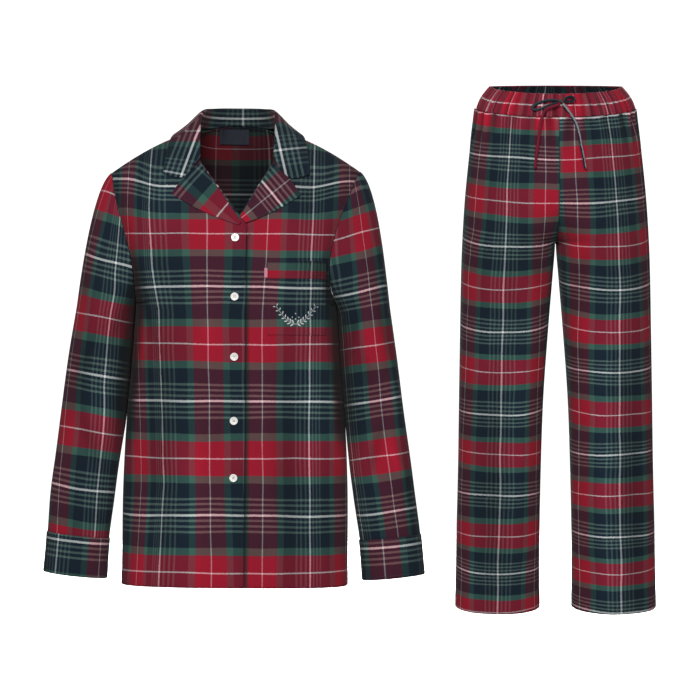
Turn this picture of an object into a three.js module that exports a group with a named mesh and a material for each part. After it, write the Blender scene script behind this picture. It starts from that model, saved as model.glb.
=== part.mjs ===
// A pyjama set of brushed check cotton, filled out as if worn, with no wearer: a long-sleeved
// shirt with a notched collar, and to its right straight trousers with an elastic waistband.
// Millimetres, +Z up, fronts facing -Y, +X to the viewer's right. The origin is the middle of
// the shirt's neck, level with the place where the collar's edge meets the shoulder.

import * as THREE from "three";

// Cloth and gaps
const CLOTH = 2;
const DOUBLE_CLOTH = 2.6;
const SEAM_GAP = 0.4;
const LAYER_GAP = 0.9;

// Shirt, by height: hem, armpit, neck and shoulder
const SHIRT_HEM = -774;
const ARMPIT = -285;
const NECK_HALF = 70;
const NECK_SHOULDER = 14;
const BACK_NECK = 29;
const BACK_NECK_DEPTH = 72;
const SHOULDER_X = 216;
const SHOULDER_FALL = 70;
const SHOULDER_ROUND = 1.5;
const SQUARENESS = 2.8;
const ARCH_POWER = 2.2;
const ARCH_ROUND = { middle: 0.9, neck: 0.3, shoulder: 0.6 };
const SHOULDER_SPREAD = 236;
const SHIRT_LEAN = 0.0076;

// The shirt's body seen from above, from the hem up to the armpit
const BODY = [
  { z: SHIRT_HEM, half: 196.5, front: 106, back: 100 },
  { z: -690, half: 196, front: 104, back: 98 },
  { z: -600, half: 195, front: 102, back: 94 },
  { z: -490, half: 190, front: 101, back: 90 },
  { z: -385, half: 181, front: 105, back: 90 },
  { z: ARMPIT, half: 174, front: 110, back: 94 },
];

// How far out each armhole seam lies, as the panel rises from the armpit to the shoulder
const ARMHOLE = [
  { rise: 0, right: 174, left: 174 },
  { rise: 0.08, right: 175, left: 165 },
  { rise: 0.25, right: 179, left: 161 },
  { rise: 0.47, right: 192, left: 171 },
  { rise: 0.75, right: 209, left: 193 },
  { rise: 1, right: 220, left: 212 },
];

// Front edges: the wearer's right front laps over the left one
const LAP = 18;
const UNDERLAP_DEPTH = CLOTH + LAYER_GAP;
const ROLL_TOP = { x: 64, z: -40 };
const ROLL_FOOT = { right: { x: -LAP, z: -150 }, left: { x: -LAP, z: -176 } };
const V_HEIGHT = -130;

// Largest soft folds of the shirt: where across, where up, how wide, how long and how deep
const SHIRT_FOLDS = [
  { x: -128, z: -520, wide: 26, tall: 190, deep: -3.5 },
  { x: -76, z: -640, wide: 30, tall: 160, deep: 3 },
  { x: 92, z: -600, wide: 30, tall: 190, deep: -3.5 },
  { x: 140, z: -470, wide: 24, tall: 160, deep: 3 },
  { x: -118, z: -110, wide: 26, tall: 46, deep: 3 },
  { x: 122, z: -100, wide: 24, tall: 40, deep: -3 },
];

// The sleeves' sections below the cap, down to the cuff's end, measured out from the middle
const SLEEVES = {
  right: [
    { z: -300, outer: 280, inner: 177.2, depth: 68, forward: 0, tilt: 12 },
    { z: -390, outer: 294, inner: 183.6, depth: 64, forward: -3, tilt: 9 },
    { z: -480, outer: 305, inner: 192, depth: 59, forward: -6, tilt: 7 },
    { z: -560, outer: 314, inner: 204, depth: 54, forward: -9, tilt: 6 },
    { z: -625, outer: 321, inner: 212, depth: 50, forward: -11, tilt: 6 },
    { z: -690, outer: 326, inner: 220, depth: 46, forward: -13, tilt: 6 },
    { z: -759, outer: 332, inner: 224, depth: 45, forward: -15, tilt: 6 },
  ],
  left: [
    { z: -300, outer: 268, inner: 177.2, depth: 68, forward: 0, tilt: 12 },
    { z: -390, outer: 281, inner: 183.6, depth: 64, forward: -3, tilt: 9 },
    { z: -480, outer: 293, inner: 192, depth: 59, forward: -6, tilt: 7 },
    { z: -560, outer: 305, inner: 199, depth: 54, forward: -9, tilt: 6 },
    { z: -625, outer: 314, inner: 208, depth: 50, forward: -11, tilt: 6 },
    { z: -690, outer: 323, inner: 218, depth: 46, forward: -13, tilt: 6 },
    { z: -759, outer: 330, inner: 224, depth: 45, forward: -15, tilt: 6 },
  ],
};
const CUFF_TOP = -690;
const CUFF_END = -759;
const CUFF_PROUD = 1.2;
const CAP_STEPS = 5;
const CAP_START = 0.45;
const SLEEVE_STEPS = 6;

// Grid sizes of the shirt's panels
const BODY_STEPS = 8;
const RISE_STEPS = 10;
const FRONT_COLUMNS = 9;
const BACK_COLUMNS = 7;
const BACK_NECK_PLACES = [0, 18, 36, 54, NECK_HALF];

// Buttons, pocket and labels
const BUTTON = { x: 0, radius: 6.8, rim: 1.6, thick: 2.4, dish: 0.7, drops: [-174, -275, -378, -488, -586] };
const POCKET = { left: 56, right: 155, top: -213, bottom: -340, band: 30 };
const NECK_LABEL = { left: -36, right: 17, top: 25, bottom: -2, thick: 0.8, clear: 1.5 };
const POCKET_TAB = { wide: 5, tall: 16, thick: 0.8, drop: 13 };

// Trousers: where their waist's middle stands, and the sections below the waistband
const TROUSERS = { x: 555, z: 94 };
const WAIST_TILT = { front: 0.245, back: 0.11 };
const WAIST_SEAM = -38;
const CROTCH = -274;
const FORK_START = -184;
const LEG_HEM = -907;
const HEM_DIP = 0.13;
const LEG_SECTIONS = [
  { z: LEG_HEM, outer: 174.5, gap: 29, front: 68, back: 68 },
  { z: -794, outer: 172.8, gap: 29, front: 68, back: 69 },
  { z: -668, outer: 169.8, gap: 26.5, front: 70, back: 72 },
  { z: -542, outer: 168, gap: 22, front: 74, back: 76 },
  { z: -416, outer: 166, gap: 13, front: 81, back: 84 },
  { z: -332, outer: 164.5, gap: 6, front: 90, back: 94 },
  { z: CROTCH, outer: 162.5, gap: 1.6, front: 96, back: 102 },
  { z: -199, outer: 158, gap: 1.6, front: 102, back: 108 },
  { z: -136, outer: 152, gap: 1.6, front: 100, back: 104 },
  { z: -94, outer: 147, gap: 1.6, front: 97, back: 98 },
  { z: WAIST_SEAM, outer: 137, gap: 1.6, front: 91, back: 90 },
];
const HIP_LEVELS = [WAIST_SEAM, -56, -84, -136, FORK_START, -214, -240, -258, -269];
const LEG_LEVELS = [...HIP_LEVELS, CROTCH, -318, -408, -528, -668, -794, LEG_HEM];
const LEG_COLUMNS = 10;

// Soft folds down the legs: angle from the outseam towards the front, in degrees
const LEG_FOLDS = {
  left: [
    { angle: 62, z: -700, wide: 16, tall: 190, deep: -4 },
    { angle: 108, z: -640, wide: 18, tall: 230, deep: 4 },
    { angle: -80, z: -560, wide: 20, tall: 200, deep: -4 },
  ],
  right: [
    { angle: 78, z: -730, wide: 18, tall: 180, deep: -3.5 },
    { angle: 118, z: -560, wide: 18, tall: 200, deep: 3.5 },
    { angle: -72, z: -600, wide: 20, tall: 200, deep: -4 },
  ],
};

// Waistband: an elastic casing whose gathers run on a little way into the cloth below it
const BAND_TOP = { outer: 113.5, front: 82, back: 80 };
const BAND_FOOT = { outer: 136, front: 91.5, back: 90 };
const GATHERS = 48;
const GATHER_DEPTH = 1.1;
const GATHER_FADE = 70;
const BAND_ROWS = 3;
const BAND_THICK = 3;
const BAND_CLEAR = 1.2;

// Drawstring, tied in a small bow in the middle of the waistband
const CORD_RADIUS = 2.2;
const CORD_SIDES = 8;
const KNOT = { x: 3, y: -97, z: -34, radius: 5 };
const BOW_LOOPS = {
  left: [
    { x: -2.6, y: -97, z: -32.6 },
    { x: -14, y: -96, z: -31 },
    { x: -28, y: -93.5, z: -32 },
    { x: -40, y: -91.2, z: -36 },
    { x: -46, y: -90.7, z: -43 },
    { x: -42, y: -92.2, z: -49.5 },
    { x: -31, y: -95, z: -48.5 },
    { x: -17, y: -97.5, z: -42 },
    { x: -3, y: -98, z: -36.4 },
  ],
  right: [
    { x: 8.3, y: -97, z: -31.5 },
    { x: 13, y: -96.8, z: -25.5 },
    { x: 19.5, y: -96.3, z: -24 },
    { x: 24.5, y: -96.8, z: -28.5 },
    { x: 22.5, y: -97.6, z: -34.5 },
    { x: 16, y: -98.2, z: -37 },
    { x: 8.8, y: -98.3, z: -35.6 },
  ],
};
// The free ends, from the knot down to their bare tips
const CORD_ENDS = {
  left: [
    { x: 0.6, y: -101.2, z: -38.9 },
    { x: -14, y: -103, z: -43.5 },
    { x: -24, y: -101, z: -48 },
    { x: -29.5, y: -100, z: -58 },
    { x: -32.5, y: -100.5, z: -72 },
    { x: -36.5, y: -102.5, z: -100 },
    { x: -40, y: -104, z: -126 },
    { x: -43, y: -104.5, z: -150 },
  ],
  right: [
    { x: 5.4, y: -100.6, z: -38.2 },
    { x: 13.5, y: -101.5, z: -48 },
    { x: 21, y: -101, z: -59 },
    { x: 29, y: -101.5, z: -74 },
    { x: 33.5, y: -102.5, z: -91 },
    { x: 36.5, y: -103.5, z: -109 },
    { x: 40, y: -104.5, z: -127 },
    { x: 44, y: -105, z: -150 },
  ],
};

const CHECK_RED = 0x8f1e34;
const CHECK_NAVY = 0x1a2636;
const CHECK_MIX = 0x4a2434;
const BUTTON_WHITE = 0xe8e6e0;

const finish = {
  shirt: new THREE.MeshStandardMaterial({ color: CHECK_MIX, roughness: 0.95, metalness: 0 }),
  trousers: new THREE.MeshStandardMaterial({ color: CHECK_MIX, roughness: 0.95, metalness: 0 }),
  collar: new THREE.MeshStandardMaterial({ color: CHECK_NAVY, roughness: 0.95, metalness: 0 }),
  band: new THREE.MeshStandardMaterial({ color: CHECK_RED, roughness: 0.95, metalness: 0 }),
  label: new THREE.MeshStandardMaterial({ color: CHECK_NAVY, roughness: 0.7, metalness: 0 }),
  button: new THREE.MeshStandardMaterial({ color: BUTTON_WHITE, roughness: 0.3, metalness: 0 }),
};

const { clamp, degToRad, lerp, smoothstep } = THREE.MathUtils;

// Reads a table smoothly at a place in one column, and gives back a row with every column.
function read(table, column, at) {
  const ordered = table[0][column] < table[table.length - 1][column] ? table : [...table].reverse();
  const last = ordered.length - 1;
  let i = 0;
  while (i < last - 1 && at > ordered[i + 1][column]) i += 1;
  const near = [i - 1, i, i + 1, i + 2].map((k) => ordered[clamp(k, 0, last)]);
  const span = near[2][column] - near[1][column];
  const share = clamp((at - near[1][column]) / span, 0, 1);
  const slope = (key, a, b) => ((b[key] - a[key]) / (b[column] - a[column])) * span;
  const row = {};
  for (const key of Object.keys(near[1])) {
    const start = slope(key, near[0], near[2]);
    const end = slope(key, near[1], near[3]);
    const rise = near[2][key] - near[1][key];
    const bend = 3 * rise - 2 * start - end + share * (start + end - 2 * rise);
    row[key] = near[1][key] + share * (start + share * bend);
  }
  return row;
}

// Equal steps from one number to another, both ends included.
function steps(from, to, count) {
  return Array.from({ length: count + 1 }, (_, i) => lerp(from, to, i / count));
}

// A closed wall of cloth whose middle runs through a grid of points, half its thickness to each
// side. A round grid joins its last column to its first. Settle can move each finished corner.
function wall(grid, thickness, { round = false, settle = (p) => p } = {}) {
  const rows = grid.length;
  const columns = grid[0].length;
  const column = (c) => (round ? (c + columns) % columns : clamp(c, 0, columns - 1));
  const at = (r, c) => grid[clamp(r, 0, rows - 1)][column(c)];
  const corners = [];
  for (const side of [1, -1]) {
    for (let r = 0; r < rows; r += 1) {
      for (let c = 0; c < columns; c += 1) {
        const across = at(r, c + 1).clone().sub(at(r, c - 1));
        const along = at(r + 1, c).clone().sub(at(r - 1, c));
        const out = across.cross(along).normalize();
        corners.push(settle(at(r, c).clone().addScaledVector(out, (side * thickness) / 2)));
      }
    }
  }
  const outer = (r, c) => r * columns + (c % columns);
  const inner = (r, c) => rows * columns + outer(r, c);
  const faces = [];
  const quad = (a, b, c, d) => faces.push(a, b, c, a, c, d);
  const cells = round ? columns : columns - 1;
  for (let c = 0; c < cells; c += 1) {
    for (let r = 0; r < rows - 1; r += 1) {
      quad(outer(r, c), outer(r, c + 1), outer(r + 1, c + 1), outer(r + 1, c));
      quad(inner(r, c), inner(r + 1, c), inner(r + 1, c + 1), inner(r, c + 1));
    }
    quad(inner(0, c), inner(0, c + 1), outer(0, c + 1), outer(0, c));
    quad(outer(rows - 1, c), outer(rows - 1, c + 1), inner(rows - 1, c + 1), inner(rows - 1, c));
  }
  for (let r = 0; r < rows - 1 && !round; r += 1) {
    quad(inner(r, 0), outer(r, 0), outer(r + 1, 0), inner(r + 1, 0));
    quad(outer(r, cells), inner(r, cells), inner(r + 1, cells), outer(r + 1, cells));
  }
  const geometry = new THREE.BufferGeometry().setFromPoints(corners);
  geometry.setIndex(faces);
  geometry.computeVertexNormals();
  return geometry;
}

function piece(name, geometry, material) {
  const mesh = new THREE.Mesh(geometry, material);
  mesh.name = name;
  return mesh;
}

// Height of the shoulder seam, or of the neckline inside it, at a distance from the middle.
function shoulderHeight(x, face) {
  const out = Math.abs(x);
  if (out >= NECK_HALF) {
    const share = (out - NECK_HALF) / (SHOULDER_X - NECK_HALF);
    return NECK_SHOULDER - SHOULDER_FALL * share ** SHOULDER_ROUND;
  }
  return face < 0 ? NECK_SHOULDER : lerp(BACK_NECK, NECK_SHOULDER, (out / NECK_HALF) ** 2);
}

// A soft trough or ridge, longest down the cloth, summed over a table of them.
function foldDepth(folds, across, z, key) {
  return folds.reduce((sum, fold) => {
    const a = (across - fold[key]) / fold.wide;
    const b = (z - fold.z) / fold.tall;
    return sum + fold.deep * Math.exp(-a * a - b * b);
  }, 0);
}

// How roundly a panel arches over to the shoulder or, on the back, runs up to the neckline.
function archRound(x, face) {
  const out = Math.abs(x);
  if (face > 0 && out < NECK_HALF) return lerp(ARCH_ROUND.middle, ARCH_ROUND.neck, (out / NECK_HALF) ** 2);
  return lerp(face > 0 ? ARCH_ROUND.neck : ARCH_ROUND.shoulder, ARCH_ROUND.shoulder,
    smoothstep(out, NECK_HALF, NECK_HALF + 60));
}

// A point of the shirt's body. Level runs from -1 at the hem to 0 at the armpit and 1 at the
// shoulder. Face is -1 on the front and 1 on the back.
function bodyPoint(x, level, face) {
  const rise = Math.max(level, 0);
  const z = level <= 0 ? ARMPIT + level * (ARMPIT - SHIRT_HEM) : lerp(ARMPIT, shoulderHeight(x, face), level);
  const section = read(BODY, "z", Math.min(z, ARMPIT));
  const half = lerp(section.half, SHOULDER_SPREAD, rise);
  const share = Math.min(Math.abs(x) / half, 1);
  const round = (1 - share ** SQUARENESS) ** (1 / SQUARENESS);
  const depth = face < 0 ? section.front : section.back;
  const inNeck = face > 0 && Math.abs(x) < NECK_HALF;
  const neck = inNeck ? BACK_NECK_DEPTH * Math.sqrt(1 - (x / NECK_HALF) ** 2) : 0;
  const arch = (1 - rise ** ARCH_POWER) ** archRound(x, face);
  const edge = 1 - share ** 6;
  const fold = foldDepth(SHIRT_FOLDS, x * -face, z, "x") * edge * (1 - rise ** 4);
  const y = face * ((lerp(neck, depth, arch)) * round + fold);
  return new THREE.Vector3(x, y, z);
}

// A point at a place across and up the shirt's body, moved out from it.
function onBody(x, z, face, lift) {
  const level = (px, pz) =>
    pz < ARMPIT ? (pz - ARMPIT) / (ARMPIT - SHIRT_HEM) : (pz - ARMPIT) / (shoulderHeight(px, face) - ARMPIT);
  const at = (px, pz) => bodyPoint(px, Math.min(level(px, pz), 1), face);
  const reach = 1.5;
  const across = at(x + reach, z).sub(at(x - reach, z));
  const up = at(x, z).sub(at(x, z - reach));
  const out = across.cross(up).multiplyScalar(-face).normalize();
  return at(x, z).addScaledVector(out, lift);
}

// How far from the middle a front's inner edge lies: the lap, the lapel's fold, then the neckline.
function frontEdge(level, foot) {
  const z = lerp(ARMPIT, NECK_SHOULDER, Math.max(level, 0));
  if (z <= foot.z) return -LAP;
  if (z <= ROLL_TOP.z) return lerp(foot.x, ROLL_TOP.x, (z - foot.z) / (ROLL_TOP.z - foot.z));
  return lerp(ROLL_TOP.x, NECK_HALF, (z - ROLL_TOP.z) / (NECK_SHOULDER - ROLL_TOP.z));
}

const armholeRises = steps(0, Math.PI, RISE_STEPS).map((turn) => (1 - Math.cos(turn)) / 2);
const bodyLevels = [...steps(-1, 0, BODY_STEPS), ...armholeRises.slice(1)];

// Places across a panel, closer together where the body turns away at the side.
function placesAcross(from, to, half, count) {
  const turn = (x) => Math.sign(x) * Math.asin(Math.min(Math.abs(x) / half, 1) ** (SQUARENESS / 2));
  return steps(turn(from), turn(to), count).map(
    (a) => Math.sign(a) * half * Math.abs(Math.sin(a)) ** (2 / SQUARENESS),
  );
}

function halfWidth(level) {
  const half = read(BODY, "z", Math.min(ARMPIT + level * (ARMPIT - SHIRT_HEM), ARMPIT)).half;
  return lerp(half, SHOULDER_SPREAD, Math.max(level, 0));
}

function outerEdge(level, side) {
  return level <= 0 ? halfWidth(level) : read(ARMHOLE, "rise", level)[side < 0 ? "right" : "left"];
}

// Keeps a panel's corners on its own side of the side seam and of the shoulder seam.
function sideOf(face) {
  return (p) => p.setY(face * Math.max(face * p.y, SEAM_GAP / 2));
}

// One front. Side is -1 for the wearer's right front, which laps over, and 1 for the left.
function shirtFront(side) {
  const foot = side < 0 ? ROLL_FOOT.right : ROLL_FOOT.left;
  const grid = bodyLevels.map((level) => {
    const edge = frontEdge(level, foot);
    const places = placesAcross(edge + 2 * LAP, outerEdge(level, side), halfWidth(level), FRONT_COLUMNS);
    return [edge, ...places].map((x) => {
      const point = bodyPoint(side * x, level, -1);
      const under = side > 0 && point.z < V_HEIGHT && x < 2.5 * LAP ? UNDERLAP_DEPTH : 0;
      return point.setY(point.y + under);
    });
  });
  const facing = side < 0 ? grid.map((row) => row.reverse()) : grid;
  return wall(facing, CLOTH, { settle: sideOf(-1) });
}

function shirtBack() {
  const grid = bodyLevels.map((level) => {
    const halves = [-1, 1].map((side) => [
      ...BACK_NECK_PLACES,
      ...placesAcross(NECK_HALF, outerEdge(level, side), halfWidth(level), BACK_COLUMNS).slice(1),
    ]);
    const places = [...halves[0].slice(1).reverse().map((x) => -x), ...halves[1]];
    return places.reverse().map((x) => bodyPoint(x, level, 1));
  });
  return wall(grid, CLOTH, { settle: sideOf(1) });
}

// A point just outside the armhole seam, where the sleeve starts, on the +X side's layout.
function armholePoint(rise, face, name) {
  const x = read(ARMHOLE, "rise", rise)[name];
  const nudge = 0.01;
  const low = Math.min(rise, 1 - nudge);
  const across = bodyPoint(x, rise, face).sub(bodyPoint(x - 1, rise, face));
  const up = bodyPoint(x, low + nudge, face).sub(bodyPoint(x, low, face));
  const out = across.cross(up).multiplyScalar(-face).normalize();
  return bodyPoint(x, rise, face).addScaledVector(out, CLOTH + LAYER_GAP);
}

// The armhole seam: from the shoulder tip down the front and up the back.
function armholeRing(name) {
  const front = [...armholeRises].reverse().map((rise) => armholePoint(rise, -1, name));
  const back = armholeRises.slice(1, -1).map((rise) => armholePoint(rise, 1, name));
  return [...front, ...back];
}

// A ring of a sleeve, starting at its outer side and turning by way of the front.
function sleeveRing(z, name, proud = 0) {
  const s = read(SLEEVES[name], "z", z);
  const tilt = degToRad(s.tilt);
  const half = (s.outer - s.inner) / 2;
  return Array.from({ length: RISE_STEPS * 2 }, (_, i) => {
    const turn = (Math.PI * i) / RISE_STEPS;
    const out = (half + proud) * Math.cos(turn);
    return new THREE.Vector3(
      (s.outer + s.inner) / 2 + out * Math.cos(tilt),
      s.forward - (s.depth + proud) * Math.sin(turn),
      z + out * Math.sin(tilt),
    );
  });
}

// The curve of the sleeve cap, which leaves the armhole outwards and turns down into the arm.
function sleeveCap(start, end) {
  const size = start.length;
  return steps(0, 1, CAP_STEPS).slice(0, -1).map((share) =>
    start.map((from, i) => {
      const to = end[i];
      const reach = from.distanceTo(to);
      const under = (1 - Math.cos((2 * Math.PI * i) / size)) / 2;
      const leave = new THREE.Vector3(lerp(0.8, 0.1, under), 0, lerp(-0.6, -1, under));
      leave.setLength(reach * CAP_START);
      const arrive = new THREE.Vector3(0.12, 0, -1).setLength(reach);
      const a = share * share;
      const b = a * share;
      return from.clone().multiplyScalar(2 * b - 3 * a + 1)
        .addScaledVector(leave, b - 2 * a + share)
        .addScaledVector(to, 3 * a - 2 * b)
        .addScaledVector(arrive, b - a);
    }));
}

function mirrored(grid, side) {
  return side > 0 ? grid : grid.map((row) => row.map((p) => new THREE.Vector3(-p.x, p.y, p.z)).reverse());
}

function sleeve(side, name) {
  const rings = steps(SLEEVES[name][0].z, CUFF_TOP, SLEEVE_STEPS).map((z) => sleeveRing(z, name));
  return wall(mirrored([...sleeveCap(armholeRing(name), rings[0]), ...rings], side), CLOTH, { round: true });
}

function cuff(side, name) {
  const rings = steps(CUFF_TOP - CLOTH / 2, CUFF_END, 2).map((z) => sleeveRing(z, name, CUFF_PROUD));
  return wall(mirrored(rings, side), DOUBLE_CLOTH, { round: true });
}

// Half of the collar, from the middle of the back round to the notch: its seam on the neckline,
// the roll at its top, the middle of its fall and its outer edge.
const FALL_LIFT = 4.5;
const COLLAR_HALF = [
  {
    seam: new THREE.Vector3(0, 72, 32),
    roll: new THREE.Vector3(0, 82, 62),
    fall: onBody(0, 20, 1, 15),
    edge: onBody(0, -9, 1, 8),
  },
  {
    seam: new THREE.Vector3(46, 55, 26),
    roll: new THREE.Vector3(42, 64, 60),
    fall: new THREE.Vector3(58, 73, 29),
    edge: onBody(57, -12, 1, 9),
  },
  {
    seam: new THREE.Vector3(69.5, 4, 19.5),
    roll: new THREE.Vector3(64, 10, 50),
    fall: new THREE.Vector3(90, 7, 27),
    edge: new THREE.Vector3(110, 4, 11),
  },
  {
    seam: onBody(67.5, -9, -1, 4.5),
    roll: onBody(66, 0, -1, 16),
    fall: onBody(94, -26, -1, 9),
    edge: onBody(122, -36, -1, FALL_LIFT + 1),
  },
  {
    seam: onBody(65.5, -33, -1, 2.8),
    roll: onBody(64, -37, -1, 7.5),
    fall: onBody(92, -70, -1, FALL_LIFT),
    edge: onBody(125, -64, -1, FALL_LIFT),
  },
];
const COLLAR_TURNS = 3;

function collar() {
  const mirror = (row) => Object.fromEntries(
    Object.entries(row).map(([key, p]) => [key, new THREE.Vector3(-p.x, p.y, p.z)]),
  );
  const sections = [...COLLAR_HALF.slice(1).reverse().map(mirror), ...COLLAR_HALF];
  const keys = ["seam", "roll", "fall", "edge"];
  const lines = keys.map((key) => new THREE.CatmullRomCurve3(sections.map((row) => row[key])));
  const spans = (sections.length - 1) * COLLAR_TURNS;
  const places = [0, 0.17, 0.28, 0.36, 0.5, 0.67, 0.84, 1];
  const grid = steps(0, 1, spans).map((along) => {
    const across = new THREE.CatmullRomCurve3(lines.map((line) => line.getPoint(along)));
    return places.map((place) => across.getPoint(place));
  });
  return wall(grid, DOUBLE_CLOTH);
}

// A lapel lies on its front. Its rows run up the fold, from the foot to the seam with the collar.
const LAPEL_TIP = { x: 111, z: -98 };
const NOTCH = { x: 91, z: -70.5 };
const ROLL_START = { right: { x: -10, z: -147 }, left: { x: 8, z: -138 } };
const LAPEL_FOOT = { right: { x: -6, z: -151 }, left: { x: 18, z: -147 } };
const LAPEL_LIFT = 3.1;

function lapel(side) {
  const name = side < 0 ? "right" : "left";
  const foot = ROLL_START[name];
  const top = { x: ROLL_TOP.x - 1, z: ROLL_TOP.z - 3 };
  const low = LAPEL_FOOT[name];
  const grid = steps(0, 1, 6).map((up) => {
    const fold = { x: lerp(foot.x, top.x, up), z: lerp(foot.z + 1, top.z, up) };
    const bow = 5 * Math.sin(Math.PI * up);
    const edge = { x: lerp(low.x, LAPEL_TIP.x, up), z: lerp(low.z, LAPEL_TIP.z, up) - bow };
    return steps(0, 1, 4).map((across) => {
      const straight = { x: lerp(fold.x, edge.x, across), z: lerp(fold.z, edge.z, across) };
      const bent = across < 0.5
        ? { x: lerp(fold.x, NOTCH.x, across * 2), z: lerp(fold.z, NOTCH.z, across * 2) }
        : { x: lerp(NOTCH.x, edge.x, across * 2 - 1), z: lerp(NOTCH.z, edge.z, across * 2 - 1) };
      const share = up ** 6;
      const x = lerp(straight.x, bent.x, share);
      const z = lerp(straight.z, bent.z, share) - 1;
      return onBody(side * x, z, -1, LAPEL_LIFT);
    });
  });
  return wall(grid, CLOTH);
}

// A patch that lies on the body between given sides, moved out from it.
function patch(box, face, lift, thickness, columns, rows) {
  const grid = steps(box.bottom, box.top, rows).map((z) =>
    steps(box.left, box.right, columns).map((x) => onBody(x, z, face, lift)));
  return wall(grid, thickness);
}

function button(drop) {
  const { radius, rim, thick, dish } = BUTTON;
  const profile = [
    [0, 0],
    [radius * 0.86, 0],
    [radius, -thick * 0.45],
    [radius - rim * 0.35, -thick],
    [radius - rim, -thick],
    [radius - rim * 1.6, dish - thick],
    [0, dish - thick],
  ].map(([r, h]) => new THREE.Vector2(r, h));
  const mesh = new THREE.LatheGeometry(profile.reverse(), 14);
  const seat = onBody(BUTTON.x, drop, -1, CLOTH / 2 + SEAM_GAP + 0.2);
  const out = onBody(BUTTON.x, drop, -1, 10).sub(seat).normalize();
  mesh.applyQuaternion(new THREE.Quaternion().setFromUnitVectors(new THREE.Vector3(0, -1, 0), out));
  mesh.translate(seat.x, seat.y, seat.z);
  return mesh;
}

// The waist drops towards the front: how steeply, on the front or the back half.
function waistTilt(y) {
  return y < 0 ? WAIST_TILT.front : WAIST_TILT.back;
}

// A point of one trouser leg, for the +X side. Angle is from the outseam, to the front or back.
function legPoint(share, z, face, folds) {
  const s = read(LEG_SECTIONS, "z", z);
  const joined = z > CROTCH;
  const fork = joined ? clamp((FORK_START - z) / (FORK_START - CROTCH), 0, 1) ** 1.3 : 1;
  const middle = joined ? (fork * s.outer) / (1 + fork) : (s.outer + s.gap) / 2;
  const half = s.outer - middle;
  const end = joined ? Math.acos(clamp(-middle / half, -1, 1)) : Math.PI;
  const turn = share * end;
  const depth = face < 0 ? s.front : s.back;
  const waves = GATHER_DEPTH * Math.cos((GATHERS / 4) * Math.PI * share);
  const gathered = waves * clamp(1 - (WAIST_SEAM - z) / GATHER_FADE, 0, 1);
  const degrees = THREE.MathUtils.radToDeg(turn) * -face;
  const fold = foldDepth(folds, degrees, z, "angle") * Math.sin(Math.PI * share);
  const swell = 1 + (gathered + fold) / depth;
  const y = face * depth * swell * Math.sin(turn);
  const dip = y < 0 ? HEM_DIP * smoothstep(-z, -LEG_SECTIONS[2].z, -LEG_HEM) : 0;
  const tilt = waistTilt(y) * (1 - smoothstep(-z, -WAIST_SEAM, -FORK_START)) + dip;
  return new THREE.Vector3(middle + half * swell * Math.cos(turn), y, z + tilt * y);
}

// Keeps a leg panel's corners on its own side of the centre seam and of the side seams.
function legSettle(side, face) {
  const keep = (value, sign) => sign * Math.max(sign * value, SEAM_GAP / 2);
  return (p) => p.set(keep(p.x, side), keep(p.y, face), p.z);
}

function legPanel(side, face) {
  const folds = LEG_FOLDS[side < 0 ? "right" : "left"];
  const grid = LEG_LEVELS.map((z) => steps(0, 1, LEG_COLUMNS).map((share) => {
    const p = legPoint(share, z - SEAM_GAP, face, folds);
    return p.setX(side * p.x);
  }));
  return wall(grid, CLOTH, { settle: legSettle(side, face) });
}

function waistband() {
  const grid = steps(0, 1, BAND_ROWS).map((down) => {
    const puff = 3 * Math.sin(Math.PI * down);
    return Array.from({ length: GATHERS * 2 }, (_, i) => {
      const turn = (Math.PI * i) / GATHERS;
      const ripple = puff + GATHER_DEPTH * (i % 2 ? 1 : -1);
      const depth = Math.sin(turn) > 0
        ? lerp(BAND_TOP.back, BAND_FOOT.back, down) : lerp(BAND_TOP.front, BAND_FOOT.front, down);
      const x = (lerp(BAND_TOP.outer, BAND_FOOT.outer, down) + ripple) * Math.cos(turn);
      const y = (depth + ripple) * Math.sin(turn);
      return new THREE.Vector3(x, y, lerp(0, WAIST_SEAM + BAND_CLEAR, down) + waistTilt(y) * y);
    });
  });
  return wall(grid, BAND_THICK, { round: true });
}

function cordTube(points) {
  const section = new THREE.Shape(
    Array.from({ length: CORD_SIDES }, (_, i) => {
      const turn = (2 * Math.PI * i) / CORD_SIDES;
      return new THREE.Vector2(CORD_RADIUS * Math.cos(turn), CORD_RADIUS * Math.sin(turn));
    }),
  );
  const route = new THREE.CatmullRomCurve3(points.map((p) => new THREE.Vector3(p.x, p.y, p.z)));
  const spacing = 2.5 * 2 * CORD_RADIUS;
  const count = Math.ceil(route.getLength() / spacing);
  return new THREE.ExtrudeGeometry(section, { extrudePath: route, steps: count });
}

function bowKnot() {
  const ball = new THREE.SphereGeometry(KNOT.radius, 10, 8);
  ball.scale(1, 0.8, 1);
  ball.translate(KNOT.x, KNOT.y, KNOT.z);
  return ball;
}

const shirt = new THREE.Group();
shirt.add(piece("shirt_front_right", shirtFront(-1), finish.shirt));
shirt.add(piece("shirt_front_left", shirtFront(1), finish.shirt));
shirt.add(piece("shirt_back", shirtBack(), finish.shirt));
shirt.add(piece("collar", collar(), finish.collar));
for (const [name, side] of [["right", -1], ["left", 1]]) {
  shirt.add(piece(`lapel_${name}`, lapel(side), finish.shirt));
  shirt.add(piece(`sleeve_${name}`, sleeve(side, name), finish.shirt));
  shirt.add(piece(`cuff_${name}`, cuff(side, name), finish.shirt));
}
const POCKET_LIFT = CLOTH + LAYER_GAP;
const pocketBody = { ...POCKET, top: POCKET.top - POCKET.band - SEAM_GAP };
const pocketBand = { ...POCKET, bottom: POCKET.top - POCKET.band };
shirt.add(piece("pocket", patch(pocketBody, -1, POCKET_LIFT, CLOTH, 9, 5), finish.shirt));
shirt.add(piece("pocket_band", patch(pocketBand, -1, POCKET_LIFT, CLOTH, 9, 2), finish.shirt));
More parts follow.
